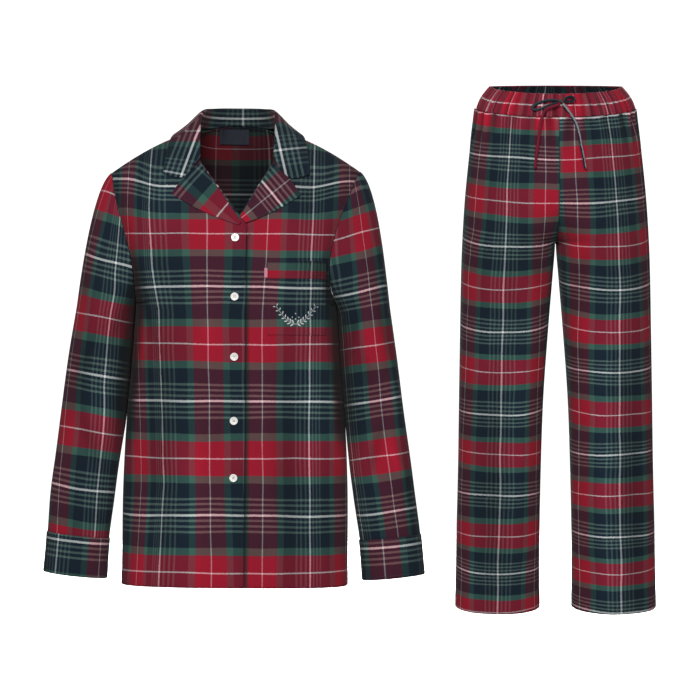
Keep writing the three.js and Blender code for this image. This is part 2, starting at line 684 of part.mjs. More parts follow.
const tabBox = {
  left: POCKET.left - SEAM_GAP - POCKET_TAB.wide,
  right: POCKET.left - SEAM_GAP,
  top: POCKET.top - POCKET_TAB.drop,
  bottom: POCKET.top - POCKET_TAB.drop - POCKET_TAB.tall,
};
shirt.add(piece("pocket_tab", patch(tabBox, -1, CLOTH, POCKET_TAB.thick, 1, 1), finish.label));
const labelLift = -(CLOTH / 2 + NECK_LABEL.clear + NECK_LABEL.thick / 2);
shirt.add(piece("neck_label", patch(NECK_LABEL, 1, labelLift, NECK_LABEL.thick, 4, 2), finish.label));
BUTTON.drops.forEach((drop, i) => shirt.add(piece(`button_${i + 1}`, button(drop), finish.button)));

shirt.rotation.y = SHIRT_LEAN;

const trousers = new THREE.Group();
trousers.position.set(TROUSERS.x, 0, TROUSERS.z);
trousers.add(piece("waistband", waistband(), finish.band));
for (const [name, side] of [["right", -1], ["left", 1]]) {
  trousers.add(piece(`leg_front_${name}`, legPanel(side, -1), finish.trousers));
  trousers.add(piece(`leg_back_${name}`, legPanel(side, 1), finish.trousers));
}
trousers.add(piece("drawstring_knot", bowKnot(), finish.collar));
for (const name of ["left", "right"]) {
  trousers.add(piece(`drawstring_loop_${name}`, cordTube(BOW_LOOPS[name]), finish.collar));
  trousers.add(piece(`drawstring_end_${name}`, cordTube(CORD_ENDS[name]), finish.collar));
}

const set = new THREE.Group();
set.add(shirt, trousers);
export default set;
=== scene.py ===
import bpy
import numpy as np
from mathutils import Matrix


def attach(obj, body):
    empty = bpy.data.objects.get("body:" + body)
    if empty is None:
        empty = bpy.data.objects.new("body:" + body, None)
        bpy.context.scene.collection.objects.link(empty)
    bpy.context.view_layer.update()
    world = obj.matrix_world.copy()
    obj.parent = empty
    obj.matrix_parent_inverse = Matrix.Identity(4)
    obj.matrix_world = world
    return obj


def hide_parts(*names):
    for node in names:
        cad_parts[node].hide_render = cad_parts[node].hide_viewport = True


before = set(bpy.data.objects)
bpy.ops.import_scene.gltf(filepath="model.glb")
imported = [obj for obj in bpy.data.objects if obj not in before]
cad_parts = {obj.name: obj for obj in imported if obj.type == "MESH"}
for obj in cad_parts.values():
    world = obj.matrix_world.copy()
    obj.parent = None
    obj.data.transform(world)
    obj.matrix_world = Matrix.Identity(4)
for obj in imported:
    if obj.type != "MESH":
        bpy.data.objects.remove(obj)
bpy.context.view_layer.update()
MM = 0.001

# Camera. It stands level in front of the two garments, far off, so that they look almost flat.
picture_wide = 1.225
picture_middle = (0.1955, -0.36645)
camera_far = 5.0
sensor_wide = 36.0
camera_data = bpy.data.cameras.new("camera")
camera_data.sensor_width = sensor_wide
camera_data.lens = sensor_wide * camera_far / picture_wide
camera = bpy.data.objects.new("camera", camera_data)
camera.location = (picture_middle[0], -camera_far, picture_middle[1])
camera.rotation_euler = (np.pi / 2, 0, 0)
bpy.context.collection.objects.link(camera)
bpy.context.scene.camera = camera

# Tie. A narrow tube of the same check cloth, drawn through the waistband and tied in a small bow,
# with a light line along parts of it. Its two ends hang free down the front.
trousers_at = np.array([555.0, 0.0, 94.0])
tie_wide, tie_flat = 4.6, 0.65
knot_middle = np.array([3.0, -97.0, -34.0])
bow_loops = {
    "left": [
        (-2.6, -97, -32.6), (-14, -96, -31.5), (-28, -93.5, -33.5), (-40, -91.2, -38), (-46.5, -90.7, -43.5),
        (-42, -92.6, -48), (-31, -95.4, -46), (-17, -98, -40), (-3, -98.4, -36),
    ],
    "right": [
        (8.3, -97, -31.5), (13, -96.8, -27), (19.5, -96.3, -25.5), (25, -96.8, -28.8),
        (22.5, -98.2, -33), (16, -99, -34.5), (8.8, -98.8, -34.6),
    ],
}
tie_ends = {
    "left": [
        (0.6, -101.2, -38.9), (-14, -103, -43.5), (-24, -101, -48), (-29.5, -100, -58),
        (-32.5, -100.5, -72), (-36.5, -102.5, -100), (-40, -104, -126), (-43, -104.5, -150),
    ],
    "right": [
        (5.4, -100.6, -38.2), (13.5, -101.5, -48), (21, -101, -59), (29, -101.5, -74),
        (33.5, -102.5, -91), (36.5, -103.5, -109), (40, -104.5, -127), (44, -105, -150),
    ],
}

# The check runs the same both ways: half a repeat, from the pale line in the navy ground to the
# pale line in the red one, with where each yarn starts and how far it shows when it runs down.
half_repeat = 98.1
yarn = {
    "navy": (0.075, 0.125, 0.165),
    "slate": (0.300, 0.370, 0.355),
    "green": (0.215, 0.340, 0.300),
    "red": (0.560, 0.095, 0.170),
    "pale": (0.840, 0.850, 0.840),
    "rose": (0.840, 0.740, 0.740),
}
check_yarns = [
    (0.000, "pale", 0.50),
    (0.017, "navy", 0.30),
    (0.072, "slate", 0.42),
    (0.112, "navy", 0.30),
    (0.170, "slate", 0.42),
    (0.210, "navy", 0.30),
    (0.264, "slate", 0.42),
    (0.304, "navy", 0.30),
    (0.559, "green", 0.34),
    (0.693, "red", 0.34),
    (0.988, "rose", 0.46),
]


def node(tree, kind, inputs=(), **settings):
    """A node with its settings, and its inputs set to a value or joined to another node's socket."""
    made = tree.nodes.new(kind)
    for key, value in settings.items():
        setattr(made, key, value)
    for key, value in dict(inputs).items():
        if isinstance(value, bpy.types.NodeSocket):
            tree.links.new(value, made.inputs[key])
        else:
            made.inputs[key].default_value = value
    return made


def sum_of(tree, operation, first, second=0):
    """One step of arithmetic on sockets or numbers."""
    return node(tree, "ShaderNodeMath", {0: first, 1: second}, operation=operation).outputs[0]


def yarn_ramp(tree, along, half):
    """The yarn's colour, and how far it shows, at a place along the check."""
    folded = sum_of(tree, "PINGPONG", along, half)
    ramp = node(tree, "ShaderNodeValToRGB", {0: sum_of(tree, "DIVIDE", folded, half)})
    ramp.color_ramp.interpolation = "CONSTANT"
    stops = ramp.color_ramp.elements
    stops.remove(stops[1])
    for start, name, share in check_yarns:
        stop = stops[0] if start == 0 else stops.new(start)
        stop.color = (*yarn[name], share)
    return ramp


def new_material(name):
    """A fresh material, with its nodes and its main shader."""
    material = bpy.data.materials.new(name)
    material.use_nodes = True
    return material, material.node_tree, material.node_tree.nodes["Principled BSDF"]


brushed_fine, brushed_edge, twill_step = 1300.0, 0.003, 0.0011


def check_cloth(name, half=half_repeat):
    """Brushed twill in the check: the colours mix as yarns do, under a fine slanted weave and nap."""
    material, tree, shader = new_material(name)
    place = node(tree, "ShaderNodeUVMap", uv_map="cloth").outputs[0]
    fuzz = node(tree, "ShaderNodeTexNoise", {"Vector": place, "Scale": brushed_fine, "Detail": 1.0})
    centred = node(
        tree, "ShaderNodeVectorMath", {0: fuzz.outputs["Color"], 1: (0.5, 0.5, 0.5)}, operation="SUBTRACT"
    ).outputs[0]
    brushed = node(
        tree, "ShaderNodeVectorMath", {0: centred, 1: (brushed_edge, brushed_edge, 0), 2: place},
        operation="MULTIPLY_ADD",
    ).outputs[0]
    split = node(tree, "ShaderNodeSeparateXYZ", {0: brushed})
    warp = yarn_ramp(tree, split.outputs[0], half * MM)
    weft = yarn_ramp(tree, split.outputs[1], half * MM)
    level = node(tree, "ShaderNodeSeparateXYZ", {0: place})
    slant = sum_of(tree, "ADD", level.outputs[0], level.outputs[1])
    twill = sum_of(tree, "SINE", sum_of(tree, "MULTIPLY", slant, 2 * np.pi / twill_step))
    shown = sum_of(tree, "ADD", sum_of(tree, "MULTIPLY", twill, 0.10), warp.outputs[1])
    mixed = node(
        tree, "ShaderNodeMix", {0: shown, 6: weft.outputs[0], 7: warp.outputs[0]}, data_type="RGBA"
    ).outputs[2]
    # The shade attribute is painted light and shade, multiplied into the cloth's colour.
    shade = node(tree, "ShaderNodeAttribute", attribute_name="shade").outputs["Fac"]
    nap = node(tree, "ShaderNodeTexNoise", {"Vector": place, "Scale": 900.0, "Detail": 3.0}).outputs[0]
    cloud = node(tree, "ShaderNodeTexNoise", {"Vector": place, "Scale": 14.0, "Detail": 3.0}).outputs[0]
    light = sum_of(tree, "ADD", sum_of(tree, "MULTIPLY", nap, 0.16), sum_of(tree, "MULTIPLY", cloud, 0.10))
    value = sum_of(tree, "MULTIPLY", sum_of(tree, "ADD", light, 0.87), shade)
    bright = node(tree, "ShaderNodeHueSaturation", {"Color": mixed, "Value": value})
    colour = node(tree, "ShaderNodeGamma", {0: bright.outputs[0], 1: 2.2})
    tree.links.new(colour.outputs[0], shader.inputs["Base Color"])
    relief = sum_of(tree, "ADD", sum_of(tree, "MULTIPLY", twill, 0.25), nap)
    bump = node(tree, "ShaderNodeBump", {"Strength": 0.35, "Distance": 0.0004, "Height": relief})
    tree.links.new(bump.outputs[0], shader.inputs["Normal"])
    shader.inputs["Roughness"].default_value = 0.92
    shader.inputs["Specular IOR Level"].default_value = 0.2
    shader.inputs["Sheen Weight"].default_value = 0.03
    shader.inputs["Sheen Roughness"].default_value = 0.6
    return material


def unit(vectors):
    """Vectors of length one."""
    length = np.linalg.norm(vectors, axis=-1, keepdims=True)
    return vectors / np.maximum(length, 1e-9)


def in_metres(points):
    return (np.asarray(points, float) * MM).tolist()


def add_mesh(name, points, faces, corners_uv, material, shade=1.0):
    """A smooth mesh object made of points, faces and the place of each face's corners in the cloth.

    The shade is how bright the cloth looks at each point: painted shade on the wrong side, as if in shadow
    inside the garment, and painted shade and light over folds and where the cloth turns into another part's
    shade."""
    mesh = bpy.data.meshes.new(name)
    mesh.from_pydata(in_metres(points), [], [[int(corner) for corner in face] for face in faces])
    layer = mesh.uv_layers.new(name="cloth")
    layer.data.foreach_set("uv", (np.asarray(corners_uv, float) * MM).ravel())
    dimmed = mesh.attributes.new("shade", "FLOAT", "POINT")
    dimmed.data.foreach_set("value", np.broadcast_to(shade, len(mesh.vertices)).astype(np.float32))
    mesh.polygons.foreach_set("use_smooth", [True] * len(mesh.polygons))
    mesh.materials.append(material)
    made = bpy.data.objects.new(name, mesh)
    bpy.context.collection.objects.link(made)
    return made


def run_of(points):
    """How far along a line each of its points lies."""
    return np.concatenate([[0], np.cumsum(np.linalg.norm(np.diff(points, axis=0), axis=1))])


def smooth_route(points, count):
    """A smooth line through given points, as evenly spaced points."""
    p = np.array(points, float)
    p = np.vstack([2 * p[0] - p[1], p, 2 * p[-1] - p[-2]])
    fine = []
    for a, b, c, d in zip(p, p[1:], p[2:], p[3:]):
        t = np.linspace(0, 1, 40, endpoint=False)[:, None]
        fine.append(
            0.5 * (2 * b + (c - a) * t + (2 * a - 5 * b + 4 * c - d) * t**2 + (3 * b - a - 3 * c + d) * t**3)
        )
    fine = np.vstack([*fine, p[-2:-1]])
    run = run_of(fine)
    even = np.linspace(0, run[-1], count)
    return np.column_stack([np.interp(even, run, fine[:, i]) for i in range(3)])


def tube(name, route, radii, material, sides=16, twist=0.0, start=(0.0, 0.0), flat=tie_flat, along=1.0):
    """A closed tube along a route, tapering by its radii and a little flattened, with its cloth
    twisting slowly round it. The cloth's check runs along it at the share that along says."""
    route, radii = np.asarray(route, float), np.asarray(radii, float)
    ahead = unit(np.gradient(route, axis=0))
    side = unit(np.cross(ahead[0], (0, -1, 0.01)))
    rings, places = [], []
    run = run_of(route)
    for i, point in enumerate(route):
        side = unit(side - ahead[i] * np.dot(side, ahead[i]))
        up = np.cross(ahead[i], side)
        turn = np.linspace(0, 2 * np.pi, sides, endpoint=False)[:, None]
        rings.append(point + radii[i] * (np.cos(turn) * side + flat * np.sin(turn) * up))
        around = np.linspace(0, 2 * np.pi * radii.max(), sides + 1)
        level = np.full(sides + 1, start[1] + run[i] * along)
        places.append(np.column_stack([start[0] + around + twist * run[i], level]))
    points = np.vstack([*rings, route[:1], route[-1:]])
    last = len(route) - 1
    faces, uv = [], []
    for r in range(last):
        for c in range(sides):
            n = (c + 1) % sides
            faces.append((r * sides + c, r * sides + n, (r + 1) * sides + n, (r + 1) * sides + c))
            uv += [places[r][c], places[r][c + 1], places[r + 1][c + 1], places[r + 1][c]]
    for c in range(sides):
        n = (c + 1) % sides
        faces.append((len(points) - 2, n, c))
        faces.append((len(points) - 1, last * sides + c, last * sides + n))
        uv += [places[0][c]] * 3 + [places[last][c]] * 3
    return add_mesh(name, points, faces, uv, material)


tie_cloth = check_cloth("tie_cloth")
tie_starts = {"left": (22.0, 72.0), "right": (-10.8, 30.0)}
knot_points = 24
knot_route = smooth_route(
    [
        knot_middle + (-1.5, 1.6, 1.6),
        knot_middle + (-2.6, -0.8, 1.8),
        knot_middle + (-1.0, -2.4, 0.6),
        knot_middle + (1.6, -1.9, -1.2),
        knot_middle + (2.4, 0.2, -2.0),
        knot_middle + (1.0, 1.8, -0.6),
    ],
    knot_points,
)
tie_knot = tube(
    "tie_knot", knot_route + trousers_at, np.full(knot_points, 2.3), tie_cloth, start=(20.0, 60.0)
)
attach(tie_knot, "root")
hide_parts("drawstring_knot")
loop_points = 36
for side, points in bow_loops.items():
    route = smooth_route(np.array(points) + trousers_at, loop_points)
    loop = tube(
        f"tie_loop_{side}", route, np.full(loop_points, tie_wide / 2), tie_cloth, twist=0.04,
        start=(-4.0, 34.0) if side == "left" else (20.0, 30.0), along=0.2,
    )
    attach(loop, "root")
    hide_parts(f"drawstring_loop_{side}")
end_points = 40
for side, points in tie_ends.items():
    route = smooth_route(np.array(points) + trousers_at, end_points)
    radii = np.full(end_points, tie_wide / 2)
    radii[-1] = tie_wide * 0.36
    end = tube(
        f"tie_end_{side}", route, radii, tie_cloth, twist=0.02, start=tie_starts[side],
        along=0.16 if side == "left" else 0.1,
    )
    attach(end, "root")
    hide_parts(f"drawstring_end_{side}")

# Shirt fronts. Two panels of brushed check cotton, sewn to the back at the side and the shoulder.
# The wearer's right front laps over the left one, and each folds back at the top into a lapel.
cloth_thick = 1.7
shirt_hem, armpit = -774.0, -285.0
neck_half, neck_shoulder = 70.0, 14.0
back_neck, back_neck_depth = 29.0, 72.0
shoulder_x, shoulder_fall, shoulder_round = 216.0, 70.0, 1.5
squareness, arch_power = 2.8, 2.2
arch_round = {"middle": 0.9, "neck": 0.3, "shoulder": 0.6}
shoulder_spread = 236.0
shirt_lean = 0.0076


def table(columns, *rows):
    """A table's rows, each with its values under the columns' names."""
    return [dict(zip(columns.split(), row)) for row in rows]


body_sections = table(
    "z half front back",
    (shirt_hem, 196.5, 106, 100),
    (-690, 196, 104, 98),
    (-600, 195, 102, 94),
    (-490, 190, 101, 90),
    (-385, 181, 105, 90),
    (armpit, 174, 110, 94),
)
armholes = table(
    "rise right left",
    (0, 174, 174),
    (0.08, 175, 165),
    (0.25, 179, 161),
    (0.47, 192, 171),
    (0.75, 209, 193),
    (1, 220, 212),
)
lap = 18.0
underlap_depth = 2.9
roll_top = (64.0, -40.0)
roll_foot = {"right": (-lap, -150.0), "left": (-lap, -176.0)}
v_height = -130.0

# Creases: where across and up, how far they lean from upright in degrees, how long, wide and deep.
front_creases = table(
    "x z lean long wide deep",
    (-128, -520, 0, 190, 26, -3.5),
    (-76, -640, 0, 160, 30, 3),
    (92, -600, 0, 190, 30, -3.5),
    (140, -470, 0, 160, 24, 3),
    (-118, -110, 0, 46, 26, 3),
    (122, -100, 0, 40, 24, -3),
    (-152, -300, 14, 80, 9, -3.4),
    (-138, -250, 24, 60, 8, 2.0),
    (150, -290, -14, 84, 9, -3.2),
    (134, -236, -22, 56, 8, 1.8),
    (-46, -330, 8, 70, 13, 1.3),
    (-30, -520, -6, 60, 10, -1.2),
    (40, -450, 10, 80, 12, 1.2),
    (70, -700, 6, 60, 13, 1.8),
    (-150, -690, -5, 90, 14, 2.2),
    (165, -660, 5, 90, 13, -2.2),
)


def read(rows, column, at):
    """Reads a table smoothly at places in one column, and gives every column there."""
    rows = sorted(rows, key=lambda row: row[column])
    at = np.asarray(at, float)
    places = np.array([row[column] for row in rows], float)
    last = len(rows) - 1
    i = np.clip(np.searchsorted(places, at, side="left") - 1, 0, last - 1)
    before, after = np.maximum(i - 1, 0), np.minimum(i + 2, last)
    span = places[i + 1] - places[i]
    share = np.clip((at - places[i]) / span, 0, 1)
    found = {}
    for key in rows[0]:
        values = np.array([row[key] for row in rows], float)
        start = (values[i + 1] - values[before]) / (places[i + 1] - places[before]) * span
        end = (values[after] - values[i]) / (places[after] - places[i]) * span
        rise = values[i + 1] - values[i]
        bend = 3 * rise - 2 * start - end + share * (start + end - 2 * rise)
        found[key] = values[i] + share * (start + share * bend)
    return found


def mix(a, b, share):
    return a + (b - a) * share


def ease(value, low, high):
    """A smooth step from 0 at low to 1 at high."""
    t = np.clip((value - low) / (high - low), 0, 1)
    return t * t * (3 - 2 * t)


crease_strength = 1.25


def crease_depth(creases, across, up):
    """Soft troughs and ridges, summed, each longest along its own lean."""
    total = np.zeros(np.broadcast(across, up).shape)
    for crease in creases:
        lean = np.radians(crease["lean"])
        dx, dz = across - crease["x"], up - crease["z"]
        over = (dx * np.cos(lean) + dz * np.sin(lean)) / crease["wide"]
        along = (dz * np.cos(lean) - dx * np.sin(lean)) / crease["long"]
        total += crease["deep"] * np.exp(-over * over - along * along)
    return total * crease_strength


def shoulder_height(x, face):
    """Height of the shoulder seam, or of the neckline inside it."""
    out = np.abs(x)
    share = np.maximum(out - neck_half, 0) / (shoulder_x - neck_half)
    outside = neck_shoulder - shoulder_fall * share**shoulder_round
    inside = neck_shoulder if face < 0 else mix(back_neck, neck_shoulder, (out / neck_half) ** 2)
    return np.where(out >= neck_half, outside, inside)


def body_point(x, level, face, creases=()):
    """Points of the shirt's body: level -1 at the hem, 0 at the armpit, 1 at the shoulder."""
    x, level = np.broadcast_arrays(np.asarray(x, float), np.asarray(level, float))
    out = np.abs(x)
    rise = np.maximum(level, 0)
    top = shoulder_height(x, face)
    z = np.where(level <= 0, armpit + level * (armpit - shirt_hem), mix(armpit, top, rise))
    section = read(body_sections, "z", np.minimum(z, armpit))
    half = mix(section["half"], shoulder_spread, rise)
    share = np.minimum(out / half, 1)
    rounded = np.maximum(1 - share**squareness, 0) ** (1 / squareness)
    in_neck = out < neck_half
    if face < 0:
        depth, neck = section["front"], 0
        arch_by = np.full(x.shape, arch_round["shoulder"])
    else:
        depth = section["back"]
        neck = np.where(in_neck, back_neck_depth * np.sqrt(np.maximum(1 - (x / neck_half) ** 2, 0)), 0)
        outside = mix(arch_round["neck"], arch_round["shoulder"], ease(out, neck_half, neck_half + 60))
        inside = mix(arch_round["middle"], arch_round["neck"], (out / neck_half) ** 2)
        arch_by = np.where(in_neck, inside, outside)
    arch = np.maximum(1 - rise**arch_power, 0) ** arch_by
    fade = (1 - share**6) * (1 - rise**4)
    fold = crease_depth(creases, x, z) * fade
    return np.stack([x, face * (mix(neck, depth, arch) * rounded + fold), z], axis=-1)


def on_body(x, z, face, lift, creases=()):
    """Points at places across and up the shirt's body, moved out from it, with the way out."""
    x, z = np.broadcast_arrays(np.asarray(x, float), np.asarray(z, float))

    def at(px, pz):
        low = (pz - armpit) / (armpit - shirt_hem)
        high = (pz - armpit) / (shoulder_height(px, face) - armpit)
        return body_point(px, np.minimum(np.where(pz < armpit, low, high), 1), face, creases)

    reach = 1.5
    across = at(x + reach, z) - at(x - reach, z)
    up = at(x, z) - at(x, z - reach)
    out = unit(np.cross(across, up) * -face)
    return at(x, z) + out * lift, out


def leaned(points):
    """The shirt's own places, leaned a little in the picture as the whole shirt is."""
    p = np.asarray(points, float)
    c, s = np.cos(shirt_lean), np.sin(shirt_lean)
    return np.stack([p[..., 0] * c + p[..., 2] * s, p[..., 1], -p[..., 0] * s + p[..., 2] * c], axis=-1)


def way_out(grid, closed=False):
    """The directions across, along and straight out of a grid of cloth."""
    wide = np.concatenate([grid[:, -1:], grid, grid[:, :1]], axis=1) if closed else grid
    across = np.gradient(wide, axis=1)
    across = across[:, 1:-1] if closed else across
    along = np.gradient(grid, axis=0)
    return across, along, unit(np.cross(across, along))


def cloth_shell(
    name, grid, uv, material, thick=cloth_thick, settle=None, edge=0.4, shade=1.0, inner=1.0,
    inner_shift=(0, 0),
):
    """A closed thin shell of cloth whose middle runs through a grid, with softly rounded edges.

    A grid whose uv has one column more than its points joins its last column to its first. Its right side
    carries the painted shade and light that shade gives, and its wrong side that times inner, a painted
    shade as if in shadow."""
    grid, uv = np.asarray(grid, float), np.asarray(uv, float)
    rows, columns = grid.shape[:2]
    closed = uv.shape[1] == columns + 1
    across, along, out = way_out(grid, closed)
    thick = np.broadcast_to(thick, (rows, columns))[..., None]
    front, back = grid + out * thick / 2, grid - out * thick / 2
    ends = [grid[:1] - unit(along[:1]) * thick[:1] * edge, grid[-1:] + unit(along[-1:]) * thick[-1:] * edge]
    parts = [front.reshape(-1, 3), back.reshape(-1, 3), ends[0].reshape(-1, 3), ends[1].reshape(-1, 3)]
    if not closed:
        parts += [
            grid[1:-1, 0] - unit(across[1:-1, 0]) * thick[1:-1, 0] * edge,
            grid[1:-1, -1] + unit(across[1:-1, -1]) * thick[1:-1, -1] * edge,
        ]
    points = np.vstack(parts)
    if settle is not None:
        points = settle(points)
    shade = np.broadcast_to(shade, (rows, columns))
    rims = [shade[0], shade[-1]] if closed else [shade[0], shade[-1], shade[1:-1, 0], shade[1:-1, -1]]
    shades = np.concatenate([shade.ravel(), (shade * inner).ravel(), *rims])
    size = rows * columns
    f = np.arange(size).reshape(rows, columns)
    b = f + size
    low, high = 2 * size + np.arange(columns), 2 * size + columns + np.arange(columns)
    faces, corners = [], []

    def strip(lower, upper, uv_lower, uv_upper, flip=False):
        """Quads between two lines of points."""
        quads = np.stack([lower[:-1], lower[1:], upper[1:], upper[:-1]], axis=1)
        places = np.stack([uv_lower[:-1], uv_lower[1:], uv_upper[1:], uv_upper[:-1]], axis=1)
        faces.append(quads[:, ::-1] if flip else quads)
        corners.append(places[:, ::-1] if flip else places)

    def looped(line):
        return np.append(line, line[0]) if closed else line

    for r in range(rows - 1):
        strip(looped(f[r]), looped(f[r + 1]), uv[r], uv[r + 1])
        strip(looped(b[r]), looped(b[r + 1]), uv[r] + inner_shift, uv[r + 1] + inner_shift, flip=True)
    strip(looped(low), looped(f[0]), uv[0], uv[0])
    strip(looped(low), looped(b[0]), uv[0], uv[0], flip=True)
    strip(looped(f[-1]), looped(high), uv[-1], uv[-1])
    strip(looped(b[-1]), looped(high), uv[-1], uv[-1], flip=True)
    if not closed:
        between = 2 * size + 2 * columns + np.arange(rows - 2)
        left = np.concatenate([[low[0]], between, [high[0]]])
        right = np.concatenate([[low[-1]], between + rows - 2, [high[-1]]])
        strip(f[:, 0], left, uv[:, 0], uv[:, 0])
        strip(b[:, 0], left, uv[:, 0], uv[:, 0], flip=True)
        strip(right, f[:, -1], uv[:, -1], uv[:, -1])
        strip(right, b[:, -1], uv[:, -1], uv[:, -1], flip=True)
    return add_mesh(name, points, np.vstack(faces), np.vstack(corners).reshape(-1, 2), material, shades)


def dress(piece, node_name):
    """The piece of cloth stands in for its node: it hangs from the root, and the node's own part is hidden.
    """
    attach(piece, "root")
    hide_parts(node_name)


stitch_step, stitch_size = 3.4, (2.4, 0.55, 0.5)
bead_rings = [(-0.36, 0.8), (0.0, 1.0), (0.36, 0.8)]


def mottled(name, dark, light, roughness, pattern="ShaderNodeTexNoise", **sizes):
    """A finish that runs between two colours by a fine pattern, as thread and resin do."""
    material, tree, shader = new_material(name)
    place = node(tree, "ShaderNodeTexCoord").outputs["Object"]
    marks = node(tree, pattern, {"Vector": place, **sizes}).outputs["Fac"]
    ramp = node(tree, "ShaderNodeValToRGB", {0: marks})
    ramp.color_ramp.elements[0].color = (*dark, 1)
    ramp.color_ramp.elements[1].color = (*light, 1)
    tree.links.new(ramp.outputs[0], shader.inputs["Base Color"])
    shader.inputs["Roughness"].default_value = roughness
    return material


thread_ply = 2500.0
thread = mottled("thread", (0.010, 0.018, 0.026), (0.035, 0.055, 0.070), 0.7, Scale=thread_ply)


def beads(name, middles, aheads, outs, sizes, material, sides=6):
    """Small rounded bars lying on the cloth, such as stitches, each with its length, width and height."""
    middles, ahead = np.asarray(middles, float), unit(np.asarray(aheads, float))
    out = np.asarray(outs, float)
    out = unit(out - ahead * np.sum(out * ahead, axis=1, keepdims=True))
    side = np.cross(out, ahead)
    sizes = np.broadcast_to(np.asarray(sizes, float), middles.shape)
    turn = np.linspace(0, 2 * np.pi, sides, endpoint=False)
    parts = []
    for share, wide in bead_rings:
        for angle in turn:
            parts.append(
                middles + ahead * share * sizes[:, :1] + side * np.cos(angle) * wide * sizes[:, 1:2] / 2
                + out * np.sin(angle) * wide * sizes[:, 2:] / 2
            )
    parts += [middles - ahead * sizes[:, :1] / 2, middles + ahead * sizes[:, :1] / 2]
    each = len(parts)
    points = np.stack(parts, axis=1).reshape(-1, 3)
    first, last = each - 2, each - 1
    model = []
    for c in range(sides):
        n = (c + 1) % sides
        model += [(first, n, c), (last, 2 * sides + c, 2 * sides + n)]
        for ring in (0, sides):
            model.append((ring + c, ring + n, ring + sides + n, ring + sides + c))
    faces = [[k * each + corner for corner in face] for k in range(len(middles)) for face in model]
    uv = np.zeros((sum(len(face) for face in faces), 2))
    made = add_mesh(name, points, faces, uv, material)
    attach(made, "root")
    return made


def spaced(line, start, step, *others):
    """Even steps along a line: its own points there, and those of other values that go with it."""
    run = run_of(line)
    at = np.arange(start, run[-1], step)
    return [
        np.column_stack([np.interp(at, run, values[:, i]) for i in range(3)]) for values in (line, *others)
    ]


def stitch_rows(name, grid, rows, thick=cloth_thick, closed=False):
    """Rows of stitches on a grid's right side. Each row picks its points out of a grid of points."""
    out = way_out(grid, closed)[2]
    top = grid + out * thick / 2
    found = []
    for row in rows:
        line = row(top)
        found.append(spaced(line, stitch_step / 2, stitch_step, np.gradient(line, axis=0), row(out)))
    middles, aheads, outs = (np.vstack(part) for part in zip(*found))
    return beads(name, middles, aheads, outs, stitch_size, thread)


def run_along(points, axis):
    """How far along the cloth each point of a grid lies, following its surface."""
    size = np.linalg.norm(np.diff(points, axis=axis), axis=-1)
    pad = [(0, 0), (0, 0)]
    pad[axis] = (1, 0)
    return np.pad(np.cumsum(size, axis=axis), pad)


body_rows, rise_rows = 100, 74
front_columns = 52
body_levels = np.linspace(-1, 0, body_rows)
rises = (1 - np.cos(np.linspace(0, np.pi, rise_rows))) / 2
panel_levels = np.concatenate([body_levels, rises[1:]])


def half_width(level):
    half = read(body_sections, "z", np.minimum(armpit + level * (armpit - shirt_hem), armpit))["half"]
    return mix(half, shoulder_spread, np.maximum(level, 0))


def outer_edge(level, name):
    """How far out a panel's side seam or armhole lies."""
    return np.where(level <= 0, half_width(level), read(armholes, "rise", np.maximum(level, 0))[name])


def front_edge(level, foot):
    """How far from the middle a front's inner edge lies: the lap, then the lapel's fold."""
    z = mix(armpit, neck_shoulder, np.maximum(level, 0))
    fold = mix(foot[0], roll_top[0], (z - foot[1]) / (roll_top[1] - foot[1]))
    above = mix(roll_top[0], neck_half, (z - roll_top[1]) / (neck_shoulder - roll_top[1]))
    return np.where(z <= foot[1], -lap, np.where(z <= roll_top[1], fold, above))


def spread_across(start, end, half, count):
    """Places across a panel, closer together where the body turns away at the side."""

    def turn(x):
        return np.sign(x) * np.arcsin(np.minimum(np.abs(x) / half, 1) ** (squareness / 2))

    a = mix(turn(start), turn(end), np.linspace(0, 1, count))
    return np.sign(a) * half * np.abs(np.sin(a)) ** (2 / squareness)


def keep_side(face):
    def settle(points):
        points[:, 1] = face * np.maximum(face * points[:, 1], 0.2)
        return points
    return settle


# Where two of the check's pale lines run down each front, by height: one in navy and one in red.
front_lines = {
    "z": (-770, -600, -420, -300, -220, -120),
    "right": {
        "navy": (-128, -120.6, -126.3, -131.5, -145, -150),
        "red": (-37, -39.1, -44, -45.7, -47.2, -49.7),
    },
    "left": {
        "navy": (132.8, 130.6, 128.9, 128.3, 131.2, 133.5),
        "red": (51.3, 50, 48.3, 47.7, 53.1, 56.3),
    },
}
# How the check closes up past the navy line, where the cloth turns away at the side.
side_lines = {
    "right": {"away": (0, 38.6, 58), "halves": (0, 1, 1.5)},
    "left": {"away": (0, 33.4, 41.9, 56.6, 75), "halves": (0, 0.559, 0.693, 0.9, 1.3)},
}
front_line_height = -258.4
# Heights of the pale lines on the chest, in halves of the repeat, up to where the cloth turns back.
chest_lines = {"z": (-285, -258.4, -166.7, -85), "halves": (-0.271, 0, 1, 2)}
chest_turn, turned_share, arm_rise = -85.0, 0.62, 14.0


def wander(across, up, size):
    """Soft unevenness in the way that the check lies, as in worn cloth."""
    slow = np.sin(across / 31 + up / 57 + 0.7) + 0.8 * np.sin(up / 43 - across / 71 + 2.1)
    quick = 0.5 * np.sin(across / 13 - up / 24 + 1.3) + 0.4 * np.sin(up / 15 + across / 29 + 4.0)
    return size * (slow + quick) / 2.7


def front_across(x, z, name):
    """The check's halves across a front, from where its two lines run at each height."""
    navy = np.interp(z, front_lines["z"], front_lines[name]["navy"])
    red = np.interp(z, front_lines["z"], front_lines[name]["red"])
    side = side_lines[name]
    share = (x - navy) / (red - navy)
    past = np.interp(np.abs(x - navy), side["away"], side["halves"])
    if name == "right":
        return np.where(share < 0, -past, share)
    return np.where(share < 0, 2 + past, 2 - share)


